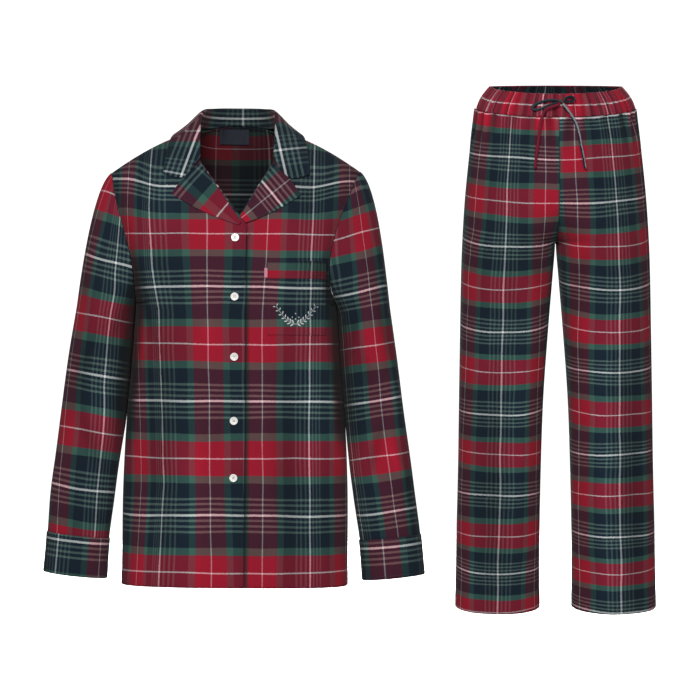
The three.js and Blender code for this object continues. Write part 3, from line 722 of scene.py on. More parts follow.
def up_the_chest(grid):
    """Places up the cloth: by height as far as the chest, then by following each column back."""
    z = grid[..., 2]
    run = run_along(grid, 0)
    level = z - arm_rise * ease(np.abs(grid[..., 0]), 125, 195) * ease(z, -170, -90)
    at_turn = np.array([np.interp(chest_turn, level[:, c], run[:, c]) for c in range(z.shape[1])])
    high = chest_lines["halves"][-1] * half_repeat + turned_share * (run - at_turn)
    chest = np.interp(level, chest_lines["z"], chest_lines["halves"]) * half_repeat
    return np.where(z < armpit, z - front_line_height, np.where(level < chest_turn, chest, high))


def front_uv(grid, name):
    """The cloth's own places on a front: across by the table, up by following the surface."""
    x, z = grid[..., 0], grid[..., 2]
    u = front_across(x, z, name) * half_repeat + wander(x, z, 1.6)
    return np.stack([u, up_the_chest(grid) + wander(z, x, 1.8)], axis=-1)


def side_shade(x, z, level_half):
    """Cloth that turns in towards the sleeve lies in its shade, down to where the two part."""
    near = ease(np.abs(x), level_half - 24, level_half - 5) * ease(z, -560, -470)
    return 1 - 0.6 * near * (1 - 0.8 * ease(z, -270, -180))


def front_grid(name):
    side = -1 if name == "right" else 1
    rows = []
    for level in panel_levels:
        edge = front_edge(level, roll_foot[name])
        half = half_width(level)
        near = edge + np.array([0, 0.5, 1.0, 1.5]) * lap
        rest = spread_across(edge + 2 * lap, outer_edge(level, name), half, front_columns)
        rows.append(np.concatenate([near, rest]))
    x = np.array(rows)
    grid = body_point(side * x, panel_levels[:, None], -1, front_creases)
    if side > 0:
        under = ease(-grid[..., 2], -v_height - 12, -v_height) * (1 - ease(x, 2 * lap, 2.6 * lap))
        grid[..., 1] += underlap_depth * under
    return grid[:, ::-1] if side < 0 else grid


shirt_cloth = check_cloth("shirt_cloth")
# Painted shade on the cloth's wrong side, as if in shadow inside the garment.
inside_shade = 0.52
fold_shade = 0.032
hem_deep, hem_thick, hem_row, hem_step = 22.0, 2.6, 4, 3.0
above_hem = (panel_levels + 1) * (armpit - shirt_hem)
hem_thickness = mix(hem_thick, cloth_thick, ease(above_hem, hem_deep - hem_step, hem_deep + hem_step))
for name in ("right", "left"):
    grid = front_grid(name)
    shade = side_shade(grid[..., 0], grid[..., 2], outer_edge(panel_levels, name)[:, None])
    shade = shade * (1 + fold_shade * crease_depth(front_creases, grid[..., 0], grid[..., 2]))
    # On the left front, a painted shadow along the edge of the right front that laps over it.
    if name == "left":
        lap_edge_painted_shadow = np.exp(-(((grid[..., 0] - lap - 1) / 3.2) ** 2)) * ease(-grid[..., 2], 150, 180)
        shade = shade * (1 - 0.62 * lap_edge_painted_shadow)
    panel = cloth_shell(
        f"front_{name}", leaned(grid), front_uv(grid, name), shirt_cloth, settle=keep_side(-1),
        shade=shade, inner=inside_shade, thick=hem_thickness[:, None],
    )
    dress(panel, f"shirt_front_{name}")
    seam_column = 1 if name == "right" else -2
    rows = [lambda g: g[hem_row, 2:-2], lambda g, c=seam_column: g[body_rows:-1, c]]
    if name == "right":
        lap_rows = int(np.sum(grid[:, -1, 2] < roll_foot[name][1] - 2))
        rows.append(lambda g, last=lap_rows: mix(g[1:last, -1], g[1:last, -2], 0.25))
    stitch_rows(f"front_{name}_stitches", leaned(grid), rows)

# Shirt back. One panel of the same cloth from side seam to side seam, up over the shoulder blades
# to the shoulder seams, with a shallow curve for the neck.
back_columns = 46
back_creases = table(
    "x z lean long wide deep",
    (-90, -560, 0, 200, 28, -3.5),
    (60, -620, 3, 170, 32, 3),
    (128, -500, 0, 180, 26, -3.5),
    (-20, -420, 4, 120, 26, 2.4),
    (-150, -290, 16, 80, 10, -3),
    (150, -280, -16, 80, 10, -3),
    (20, -230, 60, 70, 14, 1.5),
    (-50, -170, -50, 60, 12, -1.2),
)
back_line = {"x": -46.1, "halves": 1.0}
# Heights of the check's changes below the back of the neck.
neck_lines = {
    "z": (-285, -182, -89.6, -62.9, -39.1, -29, -9.7, 13.4, 20, 29),
    "halves": (0, 1, 2, 2.304, 2.559, 2.693, 3, 3.307, 3.44, 3.6),
}
rows = []
for level in panel_levels:
    half = half_width(level)
    middle = np.linspace(-neck_half, neck_half, 30)
    sides = [
        spread_across(neck_half, outer_edge(level, name), half, back_columns)[1:]
        for name in ("right", "left")
    ]
    rows.append(np.concatenate([-sides[0][::-1], middle, sides[1]])[::-1])
back_x = np.array(rows)
back_grid = body_point(back_x, panel_levels[:, None], 1, back_creases)
back_run = run_along(back_grid, 1)
centre = np.argmin(np.abs(back_x[0]))
back_u = (back_run[:, centre : centre + 1] - back_run) - back_line["x"] + back_line["halves"] * half_repeat
in_middle = np.exp(-((back_x / 96) ** 6)) * ease(back_grid[..., 2], -330, -150)
neck_v = np.interp(back_grid[..., 2], neck_lines["z"], neck_lines["halves"]) * half_repeat
back_v = mix(up_the_chest(back_grid), neck_v, in_middle)
back_shade = side_shade(back_grid[..., 0], back_grid[..., 2], outer_edge(panel_levels, "left")[:, None])
back_folds = crease_depth(back_creases, back_grid[..., 0], back_grid[..., 2])
back_panel = cloth_shell(
    "back_panel", leaned(back_grid), np.stack([back_u, back_v], axis=-1), shirt_cloth, settle=keep_side(1),
    shade=back_shade * (1 + fold_shade * back_folds), inner=inside_shade, thick=hem_thickness[:, None],
)
dress(back_panel, "shirt_back")
stitch_rows(
    "back_stitches", leaned(back_grid),
    [lambda g: g[hem_row, 2:-2], lambda g: g[body_rows:-1, 1], lambda g: g[body_rows:-1, -2]],
)

# Sleeves. Each is one piece of the cloth, closed by a seam under the arm and set into the
# armhole with a rounded cap. They hang beside the body, with a double cuff at the wrist.
sleeve_sections = {
    "right": table(
        "z outer inner depth forward tilt",
        (-300, 280, 177.2, 68, 0, 12),
        (-390, 294, 183.6, 64, -3, 9),
        (-480, 305, 192, 59, -6, 7),
        (-560, 314, 204, 54, -9, 6),
        (-625, 321, 212, 50, -11, 6),
        (-690, 326, 220, 46, -13, 6),
        (-759, 332, 224, 45, -15, 6),
    ),
    "left": table(
        "z outer inner depth forward tilt",
        (-300, 268, 175.8, 68, 0, 12),
        (-390, 281, 181.6, 64, -3, 9),
        (-480, 293, 190.6, 59, -6, 7),
        (-560, 305, 199, 54, -9, 6),
        (-625, 314, 208, 50, -11, 6),
        (-690, 323, 218, 46, -13, 6),
        (-759, 330, 224, 45, -15, 6),
    ),
}
cuff_top, cuff_end, cuff_proud = -690.0, -759.0, 1.2
around_count = 96
cap_rows, sleeve_rows = 40, 84
cap_start = 0.45
seam_lift = {"top": 0.7, "armpit": 2.5, "out": 1.3}
sleeve_fold_shade = 0.05
sleeve_lines = {
    "right": {"red_at": (51, 40, 32, 30), "apart": 75, "navy_z": -213.5, "step": 98.6, "cap": 0.889},
    "left": {"red_at": (76, 75, 73, 72), "apart": 75, "navy_z": -262.7, "step": 95.5, "cap": 0.97},
}
red_heights = (-690, -515, -430, -200)
line_tilts = {"z": (-759, -300, -200, -100), "tilt": (6, 11, 14.5, 21)}
sleeve_creases = {
    "right": table(
        "x z lean long wide deep",
        (60, -420, 0, 60, 22, -1.8),
        (110, -470, 20, 60, 20, 1.6),
        (92, -520, 26, 46, 11, -2.2),
        (66, -380, -24, 50, 12, -1.6),
        (120, -330, -20, 50, 12, -2.0),
        (40, -250, 10, 50, 14, -1.5),
        (20, -600, -10, 70, 18, 1.6),
        (80, -650, 0, 50, 16, -1.5),
        (-60, -480, 0, 90, 20, -2),
        (-120, -560, 10, 90, 22, 2),
    ),
    "left": table(
        "x z lean long wide deep",
        (50, -470, 10, 70, 20, 1.8),
        (100, -400, -16, 70, 20, -1.6),
        (96, -540, 24, 46, 11, -2.2),
        (58, -560, -14, 40, 12, 1.8),
        (118, -330, 22, 50, 12, -2.0),
        (44, -340, -12, 50, 14, -1.5),
        (30, -640, 0, 60, 18, -1.5),
        (120, -600, 8, 60, 18, 1.6),
        (-70, -520, 0, 90, 22, 2),
        (-130, -430, -8, 80, 20, -2),
    ),
}
# Turns round the sleeve start at the seam under the arm and pass the back, the outer side and
# the front. An angle of 0 is the outer side, and 90 the front.
around = np.linspace(-np.pi, np.pi, around_count, endpoint=False)


def sleeve_ring(z, name, proud=0.0):
    z = np.asarray(z, float)[:, None]
    s = read(sleeve_sections[name], "z", z)
    tilt = np.radians(s["tilt"])
    swell = crease_depth(sleeve_creases[name], np.degrees(around)[None, :], z)
    half = (s["outer"] - s["inner"]) / 2
    out = (half + proud + swell) * np.cos(around)
    x = (s["outer"] + s["inner"]) / 2 + out * np.cos(tilt)
    y = s["forward"] - (s["depth"] + proud + swell) * np.sin(around)
    return np.stack([x, y, z + out * np.sin(tilt)], axis=-1)


def armhole_ring(name):
    """The armhole seam by the same turns: from the armpit up the back, over and down the front."""
    rise = (1 + np.cos(around)) / 2
    x = read(armholes, "rise", rise)[name]
    points = np.zeros((around_count, 3))
    for face, mask in ((1, around < 0), (-1, around >= 0)):
        r = rise[mask]
        low = np.minimum(r, 0.99)
        across = body_point(x[mask], r, face) - body_point(x[mask] - 1, r, face)
        up = body_point(x[mask], low + 0.01, face) - body_point(x[mask], low, face)
        lift = mix(seam_lift["armpit"], seam_lift["top"], ease(r, 0.1, 0.6))[:, None]
        beside = unit(across) * seam_lift["out"] * ease(r, 0.1, 0.6)[:, None]
        points[mask] = body_point(x[mask], r, face) + unit(np.cross(across, up) * -face) * lift + beside
    return points


def sleeve_cap(start, end):
    """The cap leaves the armhole outwards and turns down into the arm."""
    under = (1 - np.cos(around)) / 2
    reach = np.linalg.norm(end - start, axis=-1)[:, None]
    leave = unit(np.stack([mix(0.8, 0.1, under), np.zeros(around_count), mix(-0.6, -1.0, under)], axis=-1))
    arrive = unit(np.array([0.12, 0, -1]))
    rows = []
    for share in np.linspace(0, 1, cap_rows, endpoint=False):
        a, b = share**2, share**3
        rows.append(
            start * (2 * b - 3 * a + 1) + leave * reach * cap_start * (b - 2 * a + share)
            + end * (3 * a - 2 * b) + arrive * reach * (b - a)
        )
    return np.array(rows)


def sleeve_uv(grid, name):
    lines = sleeve_lines[name]
    x, y, z = (np.concatenate([grid[..., i], grid[:, :1, i]], axis=1) for i in range(3))
    turns = np.degrees(np.append(around, np.pi))[None, :]
    top = read(sleeve_sections[name], "z", np.array(-300.0))
    middle = (top["outer"] + top["inner"]) / 2 - 0.108 * (z + 300)
    half = (top["outer"] - top["inner"]) / 2
    on_cap = np.degrees(np.arctan2(np.abs(y) / top["depth"], (x - middle) / half)) * np.sign(turns + 1e-6)
    turns = mix(turns, on_cap, ease(z, -300, -230))
    red_at = np.interp(z, red_heights, lines["red_at"])
    u = (1 - (turns - red_at) / lines["apart"]) * half_repeat
    s = read(sleeve_sections[name], "z", np.clip(z, -759, -300))
    middle = np.where(z > -300, middle, (s["outer"] + s["inner"]) / 2)
    tilt = np.interp(z, line_tilts["z"], line_tilts["tilt"])
    halves = (z - (x - middle) * np.tan(np.radians(tilt)) - lines["navy_z"]) / lines["step"]
    halves = np.where(halves > 0, halves * lines["cap"], halves)
    halves = np.where(halves > 1.7, mix(1.7, halves, 0.5), halves)
    return np.stack([u + wander(turns, z, 2.2), halves * half_repeat + wander(z, turns, 2.2)], axis=-1)


def sleeve_shade(grid, name):
    """The arm's inner side lies in shade against the body, and folds are lit on their ridges."""
    turns = np.degrees(around)[None, :]
    shade = 1 - 0.6 * ease(np.abs(turns), 112, 165) * ease(grid[..., 2], -560, -440)
    return shade * (1 + sleeve_fold_shade * crease_depth(sleeve_creases[name], turns, grid[..., 2]))


def flip_round(values):
    """Values round a tube, taken the other way from the same start."""
    return np.concatenate([values[:, :1], values[:, :0:-1]], axis=1)


def to_side(grid, uv, name):
    """A sleeve or cuff laid out for +X, mirrored for the wearer's right."""
    if name == "left":
        return grid, uv
    return flip_round(grid) * (-1, 1, 1), uv[:, ::-1]


for name in ("right", "left"):
    rings = sleeve_ring(np.linspace(-300, cuff_top, sleeve_rows), name)
    grid = np.concatenate([sleeve_cap(armhole_ring(name), rings[0]), rings])
    placed, uv = to_side(grid, sleeve_uv(grid, name), name)
    shade = sleeve_shade(grid, name)
    shade = shade if name == "left" else flip_round(shade)
    sleeve = cloth_shell(
        f"sleeve_{name}_cloth", leaned(placed), uv, shirt_cloth, shade=shade, inner=inside_shade
    )
    dress(sleeve, f"sleeve_{name}")

# Cuffs. A straight doubled band of the cloth round each sleeve's end, cut from another place of
# the check, so that its lines don't meet those of the sleeve.
cuff_rows = 16
cuff_thick = 2.4
cuff_lines = {
    "right": {"red_at": 140, "apart": 84, "navy_z": -700.0, "step": 98.6},
    "left": {"red_at": 105, "apart": 102, "navy_z": -705.0, "step": 98.6},
}
for name in ("right", "left"):
    grid = sleeve_ring(np.linspace(cuff_top - 1, cuff_end, cuff_rows), name, cuff_proud)
    lines = cuff_lines[name]
    turns = np.degrees(np.append(around, np.pi))
    u = (1 - (turns - lines["red_at"]) / lines["apart"]) * half_repeat
    level = np.linspace(cuff_top - 1, cuff_end, cuff_rows)[:, None]
    v = (level - lines["navy_z"]) / lines["step"] * half_repeat
    uv = np.stack(np.broadcast_arrays(u[None, :], v), axis=-1)
    placed, uv = to_side(grid, uv, name)
    cuff = cloth_shell(
        f"cuff_{name}_cloth", leaned(placed), uv, shirt_cloth, thick=cuff_thick, inner=inside_shade
    )
    dress(cuff, f"cuff_{name}")
    stitch_rows(
        f"cuff_{name}_stitches", leaned(placed), [lambda g: g[1], lambda g: g[-2]], thick=cuff_thick,
        closed=True,
    )

# Collar. A one-piece turned collar of doubled cloth: it stands up from the neck seam at the back,
# rolls over and falls to a free edge, and ends in a notch above each lapel.
collar_thick = 2.6
fall_lift = 4.5


def lifted(x, z, face, lift):
    return on_body(x, z, face, lift)[0]


collar_half = [
    {
        "seam": (0, 72, 32), "roll": (0, 82, 62),
        "fall": lifted(0, 20, 1, 15), "edge": lifted(0, -9, 1, 8),
    },
    {"seam": (46, 55, 26), "roll": (42, 64, 60), "fall": (58, 73, 29), "edge": lifted(57, -12, 1, 9)},
    {"seam": (69.5, 4, 19.5), "roll": (64, 10, 50), "fall": (90, 7, 27), "edge": (110, 4, 11)},
    {
        "seam": lifted(67.5, -9, -1, 4.5), "roll": lifted(66, 0, -1, 16),
        "fall": lifted(94, -26, -1, 9), "edge": lifted(122, -36, -1, fall_lift + 1),
    },
    {
        "seam": lifted(65.5, -33, -1, 2.8), "roll": lifted(64, -37, -1, 7.5),
        "fall": lifted(92, -70, -1, fall_lift), "edge": lifted(125, -64, -1, fall_lift),
    },
]


def through(points, shares):
    """A smooth curve through points, read at shares of its stretches."""
    p = np.array(points, float)
    p = np.concatenate([2 * p[:1] - p[1:2], p, 2 * p[-1:] - p[-2:-1]])
    place = np.clip(np.asarray(shares) * (len(points) - 1), 0, len(points) - 1 - 1e-9)
    i = place.astype(int)
    t = (place - i)[:, None]
    p0, p1, p2, p3 = (p[i + k] for k in range(4))
    d0, d1, d2 = (
        np.maximum(np.linalg.norm(b - a, axis=-1, keepdims=True), 1e-6) ** 0.5
        for a, b in ((p0, p1), (p1, p2), (p2, p3))
    )
    m1 = ((p1 - p0) / d0 - (p2 - p0) / (d0 + d1) + (p2 - p1) / d1) * d1
    m2 = ((p2 - p1) / d1 - (p3 - p1) / (d1 + d2) + (p3 - p2) / d2) * d1
    return p1 + m1 * t + (-3 * p1 + 3 * p2 - 2 * m1 - m2) * t**2 + (2 * p1 - 2 * p2 + m1 + m2) * t**3


# The check's halves down the collar's two fronts, by height, for the wearer's right and left.
collar_lines = {
    "z": (-77, -64.5, -20.5, -17, -6.6, 12.4, 40, 60),
    "right": (2.15, 2, 1.48, 1.441, 1.307, 1, 0.75, 0.55),
    "left": (-2.6, -2.48, -2, -1.96, -1.86, -1.6, -1.1, -0.9),
}
# Where a pale line runs down each front of the collar, and how far the lines across it slope.
collar_fall_lines = {
    "right": {"z": (-71.5, 19.4), "x": (-96, -65.9), "slope_z": (-67, 12), "slope": (0.2, 0)},
    "left": {"z": (-70.6, 2.6), "x": (87.1, 69.6), "slope_z": (-67, 12), "slope": (-0.135, -0.135)},
}
collar_back_line, collar_back_middle, collar_back_shade = 43.9, 4.0, 0.8
mirror_x = np.array([-1, 1, 1])
collar_sections = [
    {key: np.array(p, float) * mirror_x for key, p in row.items()} for row in collar_half[:0:-1]
] + collar_half
collar_along, collar_across = 150, 44
alongs = np.linspace(0, 1, collar_along)
lines = [
    through([np.array(row[key], float) for row in collar_sections], alongs)
    for key in ("seam", "roll", "fall", "edge")
]
collar_grid = np.array(
    [through([line[i] for line in lines], np.linspace(0, 1, collar_across)) for i in range(collar_along)]
)
collar_run = run_along(collar_grid, 0)
mid_row = collar_along // 2
from_back = np.abs(alongs - 0.5)[:, None] * 2
run_round = collar_run[:, collar_across // 3][:, None]
by_run = (run_round[mid_row] + collar_back_middle - run_round) / half_repeat
run_down = run_along(collar_grid, 1)
stand = collar_across // 3
line_at = np.array(
    [np.interp(collar_back_line, row[:stand, 2], run[:stand]) for row, run in zip(collar_grid, run_down)]
)
fronts = {}
for name, lines in collar_fall_lines.items():
    x, height = collar_grid[..., 0], collar_grid[..., 2]
    line_slope = np.diff(lines["x"]) / np.diff(lines["z"])
    beside = x - (lines["x"][0] + (height - lines["z"][0]) * line_slope)
    level = height + np.interp(height, lines["slope_z"], lines["slope"]) * beside
    fronts[name] = (np.interp(level, collar_lines["z"], collar_lines[name]), beside * 0.95)
first_half = alongs[:, None] < 0.5
by_height, beside = (np.where(first_half, fronts["right"][i], fronts["left"][i]) for i in (0, 1))
in_front = ease(from_back, 0.48, 0.62)
collar_u = mix(by_run, by_height, in_front) * half_repeat
collar_v = mix(run_down - line_at[:, None], beside, in_front)
collar_uv = np.stack([collar_u, collar_v], axis=-1)
over_collar = np.linspace(0, 1, collar_across)[None, :]
# Painted shade on the part of the collar that stands inside the back of the neck.
in_neck = (1 - ease(from_back, 0.4, 0.55)) * (1 - ease(over_collar, 0.3, 0.42))
collar = cloth_shell(
    "collar_fold", leaned(collar_grid), collar_uv, shirt_cloth, thick=collar_thick,
    shade=1 - (1 - collar_back_shade) * in_neck,
)
dress(collar, "collar")
collar_side = np.sign(way_out(collar_grid)[2][mid_row, -4, 1])
on_fall = slice(collar_across // 2, -1)
stitch_rows(
    "collar_stitches", leaned(collar_grid),
    [lambda g: g[2:-2, -2], lambda g: g[1, on_fall], lambda g: g[-2, on_fall]],
    thick=collar_thick * collar_side,
)

# Lapels. Each front turns back on itself below the collar, with its own facing on show, so the
# check runs another way there. The free edge runs from the notch down to the roll's foot.
lapel_tip, notch = (111.0, -98.0), (91.0, -70.5)
roll_start = {"right": (-10.0, -147.0), "left": (8.0, -138.0)}
lapel_foot = {"right": (-6.0, -151.0), "left": (18.0, -147.0)}
lapel_lift = 2.6
lapel_lines = {
    "right": {"at": (-25.5, -129.6), "turn": 140, "halves": 1, "across": 0.6, "wide": 1, "foot": 0.72},
    "left": {"at": (61.2, -97.2), "turn": 40, "halves": 0, "across": 1.0, "wide": 1.3, "foot": 1.23},
}
lapel_rows, lapel_columns = 46, 26
for name, side in (("right", -1), ("left", 1)):
    up = np.linspace(0, 1, lapel_rows)[:, None]
    across = np.linspace(0, 1, lapel_columns)[None, :]
    foot, low = roll_start[name], lapel_foot[name]
    top = (roll_top[0] - 1, roll_top[1] - 3)
    fold = (mix(foot[0], top[0], up), mix(foot[1] + 1, top[1], up))
    edge = (mix(low[0], lapel_tip[0], up), mix(low[1], lapel_tip[1], up) - 5 * np.sin(np.pi * up))
    straight = [mix(fold[i], edge[i], across) for i in (0, 1)]
    bent = [
        np.where(across < 0.5, mix(fold[i], notch[i], across * 2), mix(notch[i], edge[i], across * 2 - 1))
        for i in (0, 1)
    ]
    x, z = (mix(straight[i], bent[i], up**6) for i in (0, 1))
    grid = on_body(side * x, z - 1, -1, lapel_lift)[0]
    lines = lapel_lines[name]
    turn = np.radians(lines["turn"])
    dx, dz = side * x - lines["at"][0], z - lines["at"][1]
    along = dx * np.cos(turn) + dz * np.sin(turn)
    aside = -dx * np.sin(turn) + dz * np.cos(turn)
    along = np.where(along < 0, along * lines["foot"], along)
    u = aside * lines["wide"] + lines["across"] * half_repeat + wander(x, z, 1.2)
    uv = np.stack([u, along + lines["halves"] * half_repeat + wander(z, x, 1.2)], axis=-1)
    if side < 0:
        grid, uv = grid[:, ::-1], uv[:, ::-1]
    lapel = cloth_shell(f"lapel_{name}_cloth", leaned(grid), uv, shirt_cloth, thick=1.9)
    dress(lapel, f"lapel_{name}")
    edge_column = 1 if side < 0 else -2
    stitch_rows(f"lapel_{name}_stitches", leaned(grid), [lambda g, c=edge_column: g[2:-1, c]], thick=1.9)

# Chest pocket. A patch pocket on the wearer's left, matched to the front's check, with a band of
# the cloth cut another way across its mouth.
pocket = {"left": 56, "right": 155, "top": -213, "bottom": -340, "band": 30}
pocket_lift, pocket_thick, pocket_band_thick = 1.5, 1.1, 1.4
seam_gap = 0.4


def patch_grid(left, right, bottom, top, face, lift, columns, rows):
    """A grid of points lying on the shirt between given sides, moved out from it."""
    x = np.linspace(left, right, columns)[None, :]
    z = np.linspace(bottom, top, rows)[:, None]
    x, z = np.broadcast_arrays(x, z)
    return on_body(x, z, face, lift, front_creases if face < 0 else back_creases)[0], x, z


band_foot = pocket["top"] - pocket["band"]
grid, x, z = patch_grid(
    pocket["left"], pocket["right"], pocket["bottom"], band_foot - seam_gap, -1, pocket_lift, 36, 34
)
u = front_across(x, z, "left") * half_repeat + wander(x, z, 1.6)
v = z - front_line_height + wander(z, x, 1.8)
# Painted shade on the pocket where the front turns in towards the sleeve.
pocket_painted_shade = side_shade(x, z, outer_edge((z - armpit) / (armpit - shirt_hem), "left"))
pocket_piece = cloth_shell(
    "pocket_patch", leaned(grid), np.stack([u, v], axis=-1), shirt_cloth, thick=pocket_thick,
    shade=pocket_painted_shade,
)
dress(pocket_piece, "pocket")
stitch_rows(
    "pocket_stitches", leaned(grid), [lambda g: g[::-1, 1], lambda g: g[1, 1:-1], lambda g: g[:, -2]],
    thick=pocket_thick,
)
grid, x, z = patch_grid(pocket["left"], pocket["right"], band_foot, pocket["top"], -1, pocket_lift, 36, 12)
# Painted shade: the band grows darker towards its outer end by the armhole.
band_painted_shade = 1 - 0.3 * ease(x, 90, 150)
band_red_z = -229.5
u = front_across(x, z, "left") * half_repeat
v = 0.693 * half_repeat - (z - band_red_z)
pocket_band = cloth_shell(
    "pocket_band_cloth", leaned(grid), np.stack([u, v], axis=-1), shirt_cloth, thick=pocket_band_thick,
    shade=band_painted_shade,
)
dress(pocket_band, "pocket_band")
stitch_rows(
    "pocket_band_stitches", leaned(grid), [lambda g: g[1, 1:-1], lambda g: g[-2, 1:-1]],
    thick=pocket_band_thick,
)

# Embroidery. Two leafy sprigs in off-white thread, crossed at the foot, worked in raised satin
# stitch on the lower part of the pocket, with a few knots between them as berries.
sprig = {"foot": (104, -322), "cross": 5, "reach": 33, "rise": 31, "bow": 8, "leaves": 7}
leaf_turn, leaf_out_share, smallest_leaf = 48, 0.58, 0.62
leaf_size, stem_size, berry_size = (7.2, 2.7, 0.9), (3.0, 0.9, 0.7), (2.3, 2.3, 1.1)
berries = [(104, -303), (98.5, -309.5), (109.5, -309.5), (104, -312.5)]
embroidery = mottled(
    "embroidery_thread", (0.30, 0.33, 0.34), (0.62, 0.65, 0.64), 0.45, pattern="ShaderNodeTexWave",
    Scale=420.0, Distortion=1.5,
)


def on_pocket(x, z):
    """Places on the pocket's face, with the way out of it."""
    lift = pocket_lift + pocket_thick / 2 + 0.15
    return on_body(np.asarray(x, float), np.asarray(z, float), -1, lift, front_creases)


def stem(share, side):
    """Where a sprig's stem runs, by the share of the way up from its foot."""
    x = sprig["foot"][0] + side * (sprig["reach"] * share - sprig["cross"] * (1 - share))
    return x, sprig["foot"][1] + sprig["rise"] * share - sprig["bow"] * np.sin(np.pi * share)


stem_shares = np.linspace(0.08, 1, 40)
leaf_shares = np.linspace(0.2, 0.98, sprig["leaves"])
for name, side in (("right", -1), ("left", 1)):
    line, line_out = on_pocket(*stem(stem_shares, side))
    middles, aheads, outs = spaced(line, 1.2, stem_size[0] * 0.86, np.gradient(line, axis=0), line_out)
    sizes = np.tile(stem_size, (len(middles), 1))
    for turn_side in (-1, 1):
        x, z = stem(leaf_shares, side)
        next_x, next_z = stem(leaf_shares + 0.01, side)
        heading = np.arctan2(next_z - z, next_x - x) + turn_side * np.radians(leaf_turn)
        x = x + np.cos(heading) * leaf_size[0] * leaf_out_share
        z = z + np.sin(heading) * leaf_size[0] * leaf_out_share
        leaf_middle, leaf_out = on_pocket(x, z)
        leaf_tip = on_pocket(x + np.cos(heading), z + np.sin(heading))[0]
        middles = np.vstack([middles, leaf_middle])
        aheads = np.vstack([aheads, leaf_tip - leaf_middle])
        outs = np.vstack([outs, leaf_out])
        sizes = np.vstack([sizes, np.outer(np.linspace(1, smallest_leaf, sprig["leaves"]), leaf_size)])
    beads(
        f"sprig_{name}", leaned(middles), leaned(aheads), leaned(outs), sizes, embroidery,
        sides=10,
    )
berry_x, berry_z = np.array(berries, float).T
berry_middle, berry_out = on_pocket(berry_x, berry_z)
beads(
    "sprig_berries", leaned(berry_middle), np.tile((1.0, 0, 0), (len(berries), 1)), leaned(berry_out),
    berry_size, embroidery, sides=12,
)

# Labels. A plain woven satin label is sewn inside the back of the neck, and a small folded tab of
# pale ribbon is caught in the pocket's side seam. Neither carries any lettering.
neck_label = {"left": -36, "right": 17, "bottom": -2, "top": 25, "thick": 0.8, "clear": 1.5}
pocket_tab = {"wide": 5, "tall": 16, "thick": 0.8, "drop": 13}
ribbon_ribs = 0.0006


def ribbon(name, colour, roughness, sheen):
    """Plain woven ribbon: one colour, fine ribs across it and a soft shine."""
    material, tree, shader = new_material(name)
    place = node(tree, "ShaderNodeUVMap", uv_map="cloth").outputs[0]
    split = node(tree, "ShaderNodeSeparateXYZ", {0: place})
    ribs = sum_of(tree, "SINE", sum_of(tree, "MULTIPLY", split.outputs[1], 2 * np.pi / ribbon_ribs))
    cloud = node(tree, "ShaderNodeTexNoise", {"Vector": place, "Scale": 260.0}).outputs[0]
    light = sum_of(tree, "ADD", sum_of(tree, "MULTIPLY", ribs, 0.06), sum_of(tree, "MULTIPLY", cloud, 0.25))
    value = sum_of(tree, "ADD", light, 0.87)
    tint = node(tree, "ShaderNodeHueSaturation", {"Color": (*colour, 1), "Value": value})
    tree.links.new(tint.outputs[0], shader.inputs["Base Color"])
    bump = node(tree, "ShaderNodeBump", {"Strength": 0.4, "Distance": 0.0002, "Height": ribs})
    tree.links.new(bump.outputs[0], shader.inputs["Normal"])
    shader.inputs["Roughness"].default_value = roughness
    shader.inputs["Specular IOR Level"].default_value = 0.25
    shader.inputs["Sheen Weight"].default_value = sheen
    return material


label_satin = ribbon("label_satin", (0.006, 0.009, 0.018), 0.5, 0.0)
tab_ribbon = ribbon("tab_ribbon", (0.52, 0.21, 0.27), 0.6, 0.1)
label_lift = -(1 + neck_label["clear"] + neck_label["thick"] / 2)
grid, x, z = patch_grid(
    neck_label["left"], neck_label["right"], neck_label["bottom"], neck_label["top"], 1, label_lift, 24, 14
)
label = cloth_shell(
    "neck_label_satin", leaned(grid), np.stack([x, z], axis=-1), label_satin, thick=neck_label["thick"]
)
dress(label, "neck_label")
label_side = -np.sign(way_out(grid)[2][4, 4, 1])
stitch_rows(
    "label_stitches", leaned(grid), [lambda g: g[:, 1], lambda g: g[:, -2]],
    thick=neck_label["thick"] * label_side,
)
tab_lift = 2.0
tab_right = pocket["left"] - seam_gap
tab_top = pocket["top"] - pocket_tab["drop"]
grid, x, z = patch_grid(
    tab_right - pocket_tab["wide"], tab_right, tab_top - pocket_tab["tall"], tab_top, -1, tab_lift, 8, 14
)
tab = cloth_shell(
    "pocket_tab_ribbon", leaned(grid), np.stack([x, z], axis=-1), tab_ribbon, thick=pocket_tab["thick"]
)
dress(tab, "pocket_tab")

# Buttons. Five white four-hole buttons down the lapped front, each turned with a raised rim and
# sewn on with white thread.
button = {"radius": 6.8, "rim": 1.6, "thick": 2.4, "dish": 0.7}
button_drops = (-174, -275, -378, -488, -586)
button_clear = 1.6
hole_out, hole_radius = 1.7, 0.8


def select_only(made):
    bpy.ops.object.select_all(action="DESELECT")
    made.select_set(True)
    bpy.context.view_layer.objects.active = made


button_plastic = mottled(
    "button_plastic", (0.66, 0.64, 0.60), (0.86, 0.85, 0.83), 0.28, Scale=180.0, Detail=4.0
)
button_plastic.node_tree.nodes["Principled BSDF"].inputs["Coat Weight"].default_value = 0.3

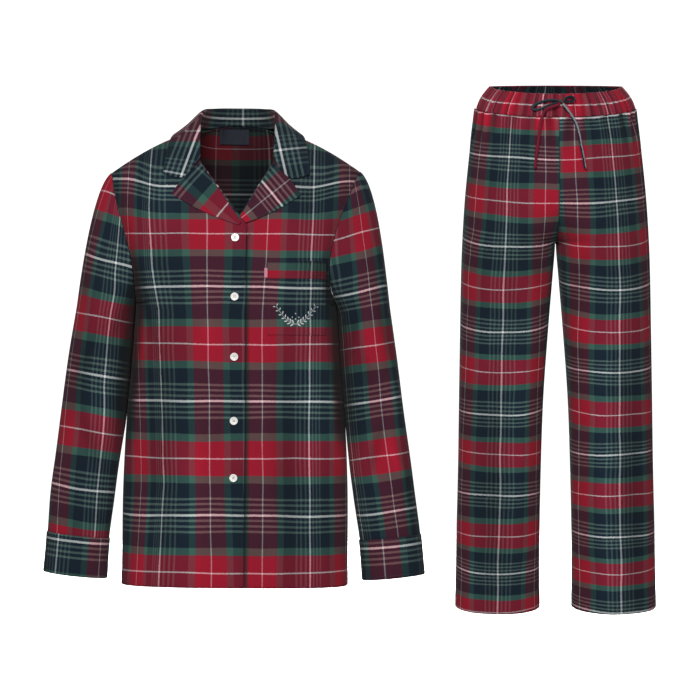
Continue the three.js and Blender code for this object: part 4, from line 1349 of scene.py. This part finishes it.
bpy.ops.object.select_all(action="DESELECT")
bpy.ops.mesh.primitive_cylinder_add(
    vertices=48, radius=button["radius"] * MM, depth=button["thick"] * MM, end_fill_type="NGON",
    location=(0, 0, 0),
)
model = bpy.context.object
bpy.ops.object.mode_set(mode="EDIT")
bpy.ops.mesh.select_mode(type="FACE")
bpy.ops.mesh.select_all(action="DESELECT")
bpy.ops.object.mode_set(mode="OBJECT")
for polygon in model.data.polygons:
    polygon.select = polygon.normal.z > 0.9
bpy.ops.object.mode_set(mode="EDIT")
bpy.ops.mesh.inset(thickness=button["rim"] * MM)
bpy.ops.mesh.inset(thickness=0.6 * MM, depth=-button["dish"] * MM)
bpy.ops.object.mode_set(mode="OBJECT")
cutters = []
for turn in (45, 135, 225, 315):
    angle = np.radians(turn)
    bpy.ops.object.select_all(action="DESELECT")
    bpy.ops.mesh.primitive_cylinder_add(
        vertices=16, radius=hole_radius * MM, depth=6 * MM,
        location=(hole_out * np.cos(angle) * MM, hole_out * np.sin(angle) * MM, 0),
    )
    cutters.append(bpy.context.object)
for cutter in cutters:
    cut = model.modifiers.new("hole", "BOOLEAN")
    cut.object = cutter
    cut.operation = "DIFFERENCE"
    cut.solver = "EXACT"
    select_only(model)
    bpy.ops.object.modifier_apply(modifier=cut.name)
    bpy.data.objects.remove(cutter)
soft = model.modifiers.new("soft", "BEVEL")
soft.width = 0.35 * MM
soft.segments = 3
soft.limit_method = "ANGLE"
soft.angle_limit = np.radians(40)
select_only(model)
bpy.ops.object.modifier_apply(modifier=soft.name)
model.data.materials.append(button_plastic)
select_only(model)
bpy.ops.object.shade_smooth_by_angle(angle=np.radians(35))
button_thread = mottled("button_thread", (0.40, 0.38, 0.36), (0.62, 0.60, 0.58), 0.7, Scale=thread_ply)
thread_size, thread_row = (3.6, 0.8, 0.8), hole_out * np.sin(np.pi / 4)
thread_height = button["thick"] / 2 - button["dish"] + 0.3
thread_middles, thread_aheads, thread_outs = [], [], []
for number, drop in enumerate(button_drops, 1):
    at, out = on_body(0.0, drop, -1, button_clear + button["thick"] / 2)
    at, out = leaned(at), leaned(out)
    side = unit(np.cross(out, (0, 0, 1)))
    turn = np.column_stack([side, np.cross(out, side), out])
    placed = model.copy()
    placed.data = model.data.copy()
    placed.name = f"shirt_button_{number}"
    bpy.context.collection.objects.link(placed)
    points = np.zeros(len(placed.data.vertices) * 3)
    placed.data.vertices.foreach_get("co", points)
    points = points.reshape(-1, 3) @ turn.T + at * MM
    placed.data.vertices.foreach_set("co", points.ravel())
    placed.data.update()
    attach(placed, "root")
    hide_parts(f"button_{number}")
    thread_middles += [at + out * thread_height + turn[:, 1] * row for row in (-thread_row, thread_row)]
    thread_aheads += [side, side]
    thread_outs += [out, out]
bpy.data.objects.remove(model)
beads(
    "button_threads", thread_middles, thread_aheads, thread_outs, thread_size, button_thread,
    sides=8,
)

# Trousers' legs. Each leg is a front and a back panel of the check cloth, joined down the outside
# and the inside, and to the other leg along the middle seam. They hang straight to a plain hem.
waist_tilt = {"front": 0.245, "back": 0.11}
waist_seam, crotch, fork_start, leg_hem = -38.0, -274.0, -184.0, -907.0
hem_dip = 0.13
leg_sections = table(
    "z outer gap front back",
    (leg_hem, 174.5, 29, 68, 68),
    (-794, 172.8, 29, 68, 69),
    (-668, 169.8, 26.5, 70, 72),
    (-542, 168, 22, 74, 76),
    (-416, 166, 13, 81, 84),
    (-332, 164.5, 6, 90, 94),
    (crotch, 162.5, 1.6, 96, 102),
    (-199, 158, 1.6, 102, 108),
    (-136, 152, 1.6, 100, 104),
    (-94, 147, 1.6, 97, 98),
    (waist_seam, 137, 1.6, 91, 90),
)
# Creases down the legs, by the angle from the outer seam towards the front.
leg_creases = {
    "left": table(
        "x z lean long wide deep",
        (62, -700, 0, 190, 16, -4),
        (108, -640, 0, 230, 18, 4),
        (-80, -560, 0, 200, 20, -4),
        (84, -420, 8, 70, 13, 1.8),
        (40, -330, -12, 60, 12, -1.6),
        (128, -330, 20, 50, 12, -2.4),
        (96, -840, 0, 60, 14, 2.0),
        (-110, -760, 0, 90, 16, 2.4),
        (-50, -320, 0, 80, 14, 2.0),
    ),
    "right": table(
        "x z lean long wide deep",
        (78, -730, 0, 180, 18, -3.5),
        (118, -560, 0, 200, 18, 3.5),
        (-72, -600, 0, 200, 20, -4),
        (60, -470, -8, 70, 13, 1.6),
        (92, -350, 10, 60, 12, -1.6),
        (130, -320, 20, 50, 12, -2.2),
        (48, -850, 0, 60, 14, 2.0),
        (-112, -420, 0, 90, 16, 2.4),
        (-40, -800, 0, 80, 14, 2.0),
    ),
}
gathers, gather_depth, gather_fade = 48, 2.1, 74.0
leg_columns, hip_rows, leg_rows = 60, 60, 130
leg_levels = np.concatenate(
    [np.linspace(waist_seam, crotch, hip_rows), np.linspace(crotch, leg_hem, leg_rows)[1:]]
)
leg_scale = 0.742
leg_fold_shade, gather_shade = 0.04, 0.085
leg_hem_thick, leg_hem_row, leg_hem_deep = 2.6, -6, 27.0
leg_half = half_repeat * leg_scale
leg_weft = {
    "z": (
        -930, -836, -774.6, -706, -632.8, -562, -486.4, -412.9, -338.5, -264.1, -187.3, -114, -40.4, -20,
    ),
    "halves": (13.4, 12, 11, 10, 9, 8, 7, 6, 5, 4, 3, 2, 1, 0.75),
}
line_sag = {
    "z": (-900, -848, -745, -605, -465, -360, -110, -50),
    "sag": (0.17, 0.17, 0.09, 0.14, 0.2, 0.21, 0.2, 0.245),
}
leg_warp = {
    "z": (-900, -450, -333, -228, -100, -40),
    "right": {"navy": (104, 97, 94.7, 91, 83, 79), "red": (40, 33, 29.6, 24, 25, 25)},
    "left": {"navy": (108, 104.3, 104, 101, 90, 82), "red": (40, 36.6, 36.6, 30, 26.7, 26)},
}
leg_shift = {"right": 0.0, "left": 1.0}


def leg_point(share, z, face, creases):
    """Points of one leg for the +X side, by the share of the way from outer seam to inner seam."""
    share, z = np.broadcast_arrays(np.asarray(share, float), np.asarray(z, float))
    s = read(leg_sections, "z", z)
    joined = z > crotch
    fork = np.where(joined, np.clip((fork_start - z) / (fork_start - crotch), 0, 1) ** 1.3, 1)
    middle = np.where(joined, fork * s["outer"] / (1 + fork), (s["outer"] + s["gap"]) / 2)
    half = s["outer"] - middle
    end = np.where(joined, np.arccos(np.clip(-middle / half, -1, 1)), np.pi)
    turn = share * end
    depth = s["front"] if face < 0 else s["back"]
    uneven = 1 + 0.35 * np.sin(9 * share + face) + 0.25 * np.sin(23 * share)
    waves = gather_depth * uneven * np.cos(gathers / 4 * np.pi * share + 0.9 * np.sin(8 * share + z / 40))
    gathered = waves * np.clip(1 - (waist_seam - z) / gather_fade, 0, 1)
    fold = crease_depth(creases, np.degrees(turn) * -face, z) * np.sin(np.pi * share)
    swell = 1 + (gathered + fold) / depth
    y = face * depth * swell * np.sin(turn)
    dip = np.where(y < 0, hem_dip * ease(-z, -leg_sections[2]["z"], -leg_hem), 0)
    tilt = np.where(y < 0, waist_tilt["front"], waist_tilt["back"])
    tilt = tilt * (1 - ease(-z, -waist_seam, -fork_start)) + dip
    points = np.stack([middle + half * swell * np.cos(turn), y, z + tilt * y], axis=-1)
    # The second value is painted light and shade: darker in fold troughs and gather hollows, lighter on
    # their ridges.
    return points, 1 + leg_fold_shade * fold + gather_shade * gathered


leg_seam_clear = 0.2
back_half_start, least_line_gap = -1.35, 20


def keep_leg(side, face):
    """Holds a leg panel's points on its own side of the middle seam and of the side seams."""
    def settle(points):
        local = points - trousers_at
        local[:, 0] = side * np.maximum(side * local[:, 0], leg_seam_clear)
        local[:, 1] = face * np.maximum(face * local[:, 1], leg_seam_clear)
        return local + trousers_at
    return settle


def leg_uv(grid, name, face):
    x, y, z = grid[..., 0], grid[..., 1], grid[..., 2]
    run = run_along(grid, 1)
    height = z[:, leg_columns // 2]
    navy, red = (np.interp(height, leg_warp["z"], leg_warp[name][line]) for line in ("navy", "red"))
    u = np.zeros(x.shape)
    for r in range(len(x)):
        at_navy = np.interp(-navy[r], -x[r], run[r])
        at_red = np.interp(-red[r], -x[r], run[r])
        u[r] = (run[r] - at_navy) / max(at_red - at_navy, least_line_gap)
    if face > 0:
        u = back_half_start - u
    level = z - np.interp(z, line_sag["z"], line_sag["sag"]) * y
    halves = np.interp(level, leg_weft["z"], leg_weft["halves"]) + leg_shift[name]
    u, v = u * leg_half + wander(x * face, z, 2.0), halves * leg_half + wander(z, x * face, 2.6)
    return np.stack([u, v], axis=-1)


trouser_cloth = check_cloth("trouser_cloth", half=leg_half)
above_leg_hem = ease(leg_levels - leg_hem, leg_hem_deep - hem_step, leg_hem_deep + hem_step)
leg_thickness = mix(leg_hem_thick, cloth_thick, above_leg_hem)[:, None]
for name, side in (("right", -1), ("left", 1)):
    for face_name, face in (("front", -1), ("back", 1)):
        share = np.linspace(0, 1, leg_columns)[None, :]
        grid, shade = leg_point(share, leg_levels[:, None] - seam_gap, face, leg_creases[name])
        uv = leg_uv(grid, name, face)
        placed = grid * (side, 1, 1) + trousers_at
        if side * face > 0:
            placed, uv, shade = placed[:, ::-1], uv[:, ::-1], shade[:, ::-1]
        panel = cloth_shell(
            f"leg_{face_name}_{name}_cloth", placed, uv, trouser_cloth, settle=keep_leg(side, face),
            shade=shade, inner=inside_shade, thick=leg_thickness,
        )
        dress(panel, f"leg_{face_name}_{name}")
        stitch_rows(f"leg_{face_name}_{name}_stitches", placed, [lambda g: g[leg_hem_row, 1:-1]])

# Waistband. A casing of the cloth with elastic inside, which gathers it into fine upright folds.
band_top = {"outer": 113.5, "front": 82, "back": 80}
band_foot_size = {"outer": 136, "front": 91.5, "back": 90}
band_clear, band_thick, band_reach, band_gathered = 1.2, 2.8, 125, 1.3
band_rows, band_columns = 18, gathers * 10
band_turn = np.linspace(0, 2 * np.pi, band_columns, endpoint=False)[None, :]
down = np.linspace(0, 1, band_rows)[:, None]
uneven = 1 + 0.35 * np.sin(7 * band_turn + 1) + 0.25 * np.sin(17 * band_turn + 2)
drift = 0.5 * np.sin(5 * band_turn) + 0.35 * np.sin(11 * band_turn + down * 2.5)
ripple_share = np.interp(down, (0, 0.5, 1), (0.7, 1, 0.9))
ripple = gather_depth * uneven * np.cos(gathers * band_turn + drift) * ripple_share
puff = 3 * np.sin(np.pi * down)
depth = np.where(
    np.sin(band_turn) > 0,
    mix(band_top["back"], band_foot_size["back"], down),
    mix(band_top["front"], band_foot_size["front"], down),
)
x = (mix(band_top["outer"], band_foot_size["outer"], down) + puff + ripple) * np.cos(band_turn)
y = (depth + puff + ripple) * np.sin(band_turn)
z = mix(0, waist_seam + band_clear, down) + np.where(y < 0, waist_tilt["front"], waist_tilt["back"]) * y
band_grid = np.stack([x, y, z], axis=-1)
closed_turn = np.append(band_turn[0], 2 * np.pi)[None, :]
band_u = closed_turn * band_reach * band_gathered
band_v = leg_half - (down - 0.5) * 34 + wander(np.cos(closed_turn) * 120, np.sin(closed_turn) * 90, 1.0)
band_uv = np.stack(np.broadcast_arrays(band_u, band_v), axis=-1)
band_placed = flip_round(band_grid) + trousers_at
# The gathers carry painted shade in their hollows and painted light on their ridges, and the inside is
# darkened by painted shade.
waistband = cloth_shell(
    "waistband_cloth", band_placed, band_uv[:, ::-1], trouser_cloth, thick=band_thick,
    shade=flip_round(1 + gather_shade * ripple), inner=0.8, inner_shift=(20, -0.75 * leg_half),
)
dress(waistband, "waistband")
stitch_rows(
    "waistband_stitches", band_placed, [lambda g: g[4], lambda g: g[-3]], thick=band_thick, closed=True
)

# Studio. A plain pale floor that turns up into a round wall, far out on all sides, with broad soft
# lights in front and behind. The paper glows a little, as a lit backdrop does, and doesn't tint
# the clothes.
floor_z, room_middle, bend = -1.02, (0.2, 0.0), 2.0
room_radius, room_high, room_sides = 11.0, 9.0, 72
profile = [(0.0, floor_z), (room_radius - bend, floor_z)]
for turn in np.linspace(0, np.pi / 2, 12)[1:]:
    profile.append((room_radius - bend + bend * np.sin(turn), floor_z + bend - bend * np.cos(turn)))
profile.append((room_radius, room_high))
sweep_points = [(*room_middle, floor_z)]
for radius, z in profile[1:]:
    for angle in np.linspace(0, 2 * np.pi, room_sides, endpoint=False):
        out = (radius * np.cos(angle), radius * np.sin(angle))
        sweep_points.append((room_middle[0] + out[0], room_middle[1] + out[1], z))
sweep_faces = []
for c in range(room_sides):
    n = (c + 1) % room_sides
    sweep_faces.append((0, 1 + c, 1 + n))
    for ring in range(len(profile) - 2):
        low, high = 1 + ring * room_sides, 1 + (ring + 1) * room_sides
        sweep_faces.append((low + c, high + c, high + n, low + n))
sweep_mesh = bpy.data.meshes.new("sweep")
sweep_mesh.from_pydata(sweep_points, [], sweep_faces)
sweep_mesh.polygons.foreach_set("use_smooth", [True] * len(sweep_mesh.polygons))
sweep = bpy.data.objects.new("sweep", sweep_mesh)
bpy.context.collection.objects.link(sweep)
paper, _, paper_shader = new_material("paper")
paper_shader.inputs["Base Color"].default_value = (0.93, 0.93, 0.93, 1)
paper_shader.inputs["Roughness"].default_value = 1.0
paper_shader.inputs["Emission Color"].default_value = (1, 1, 1, 1)
paper_shader.inputs["Emission Strength"].default_value = 1.0
sweep_mesh.materials.append(paper)
sweep.visible_diffuse = False
sweep.visible_glossy = False

light_size, light_aim = 1.5, np.array([0.2, 0.0, -0.4])
soft_lights = {
    "key_light": {"at": (-0.5, -4.6, 1.5), "power": 190},
    "fill_light": {"at": (1.3, -4.6, 0.2), "power": 60},
    "back_light": {"at": (0.9, 4.6, 1.5), "power": 190},
    "back_fill_light": {"at": (-0.9, 4.6, 0.2), "power": 60},
}
for name, light in soft_lights.items():
    data = bpy.data.lights.new(name, "AREA")
    data.shape = "SQUARE"
    data.size = light_size
    data.energy = light["power"]
    lamp = bpy.data.objects.new(name, data)
    lamp.location = light["at"]
    lamp.visible_camera = False
    way = light_aim - np.array(light["at"])
    lift = np.arctan2(way[2], np.hypot(way[0], way[1]))
    lamp.rotation_euler = (np.pi / 2 + lift, 0, np.arctan2(-way[0], way[1]))
    bpy.context.collection.objects.link(lamp)
world = bpy.data.worlds.new("studio")
bpy.context.scene.world = world
world.use_nodes = True
world.node_tree.nodes["Background"].inputs["Color"].default_value = (1, 1, 1, 1)
world.node_tree.nodes["Background"].inputs["Strength"].default_value = 0.12
bpy.context.scene.view_settings.view_transform = "Standard"
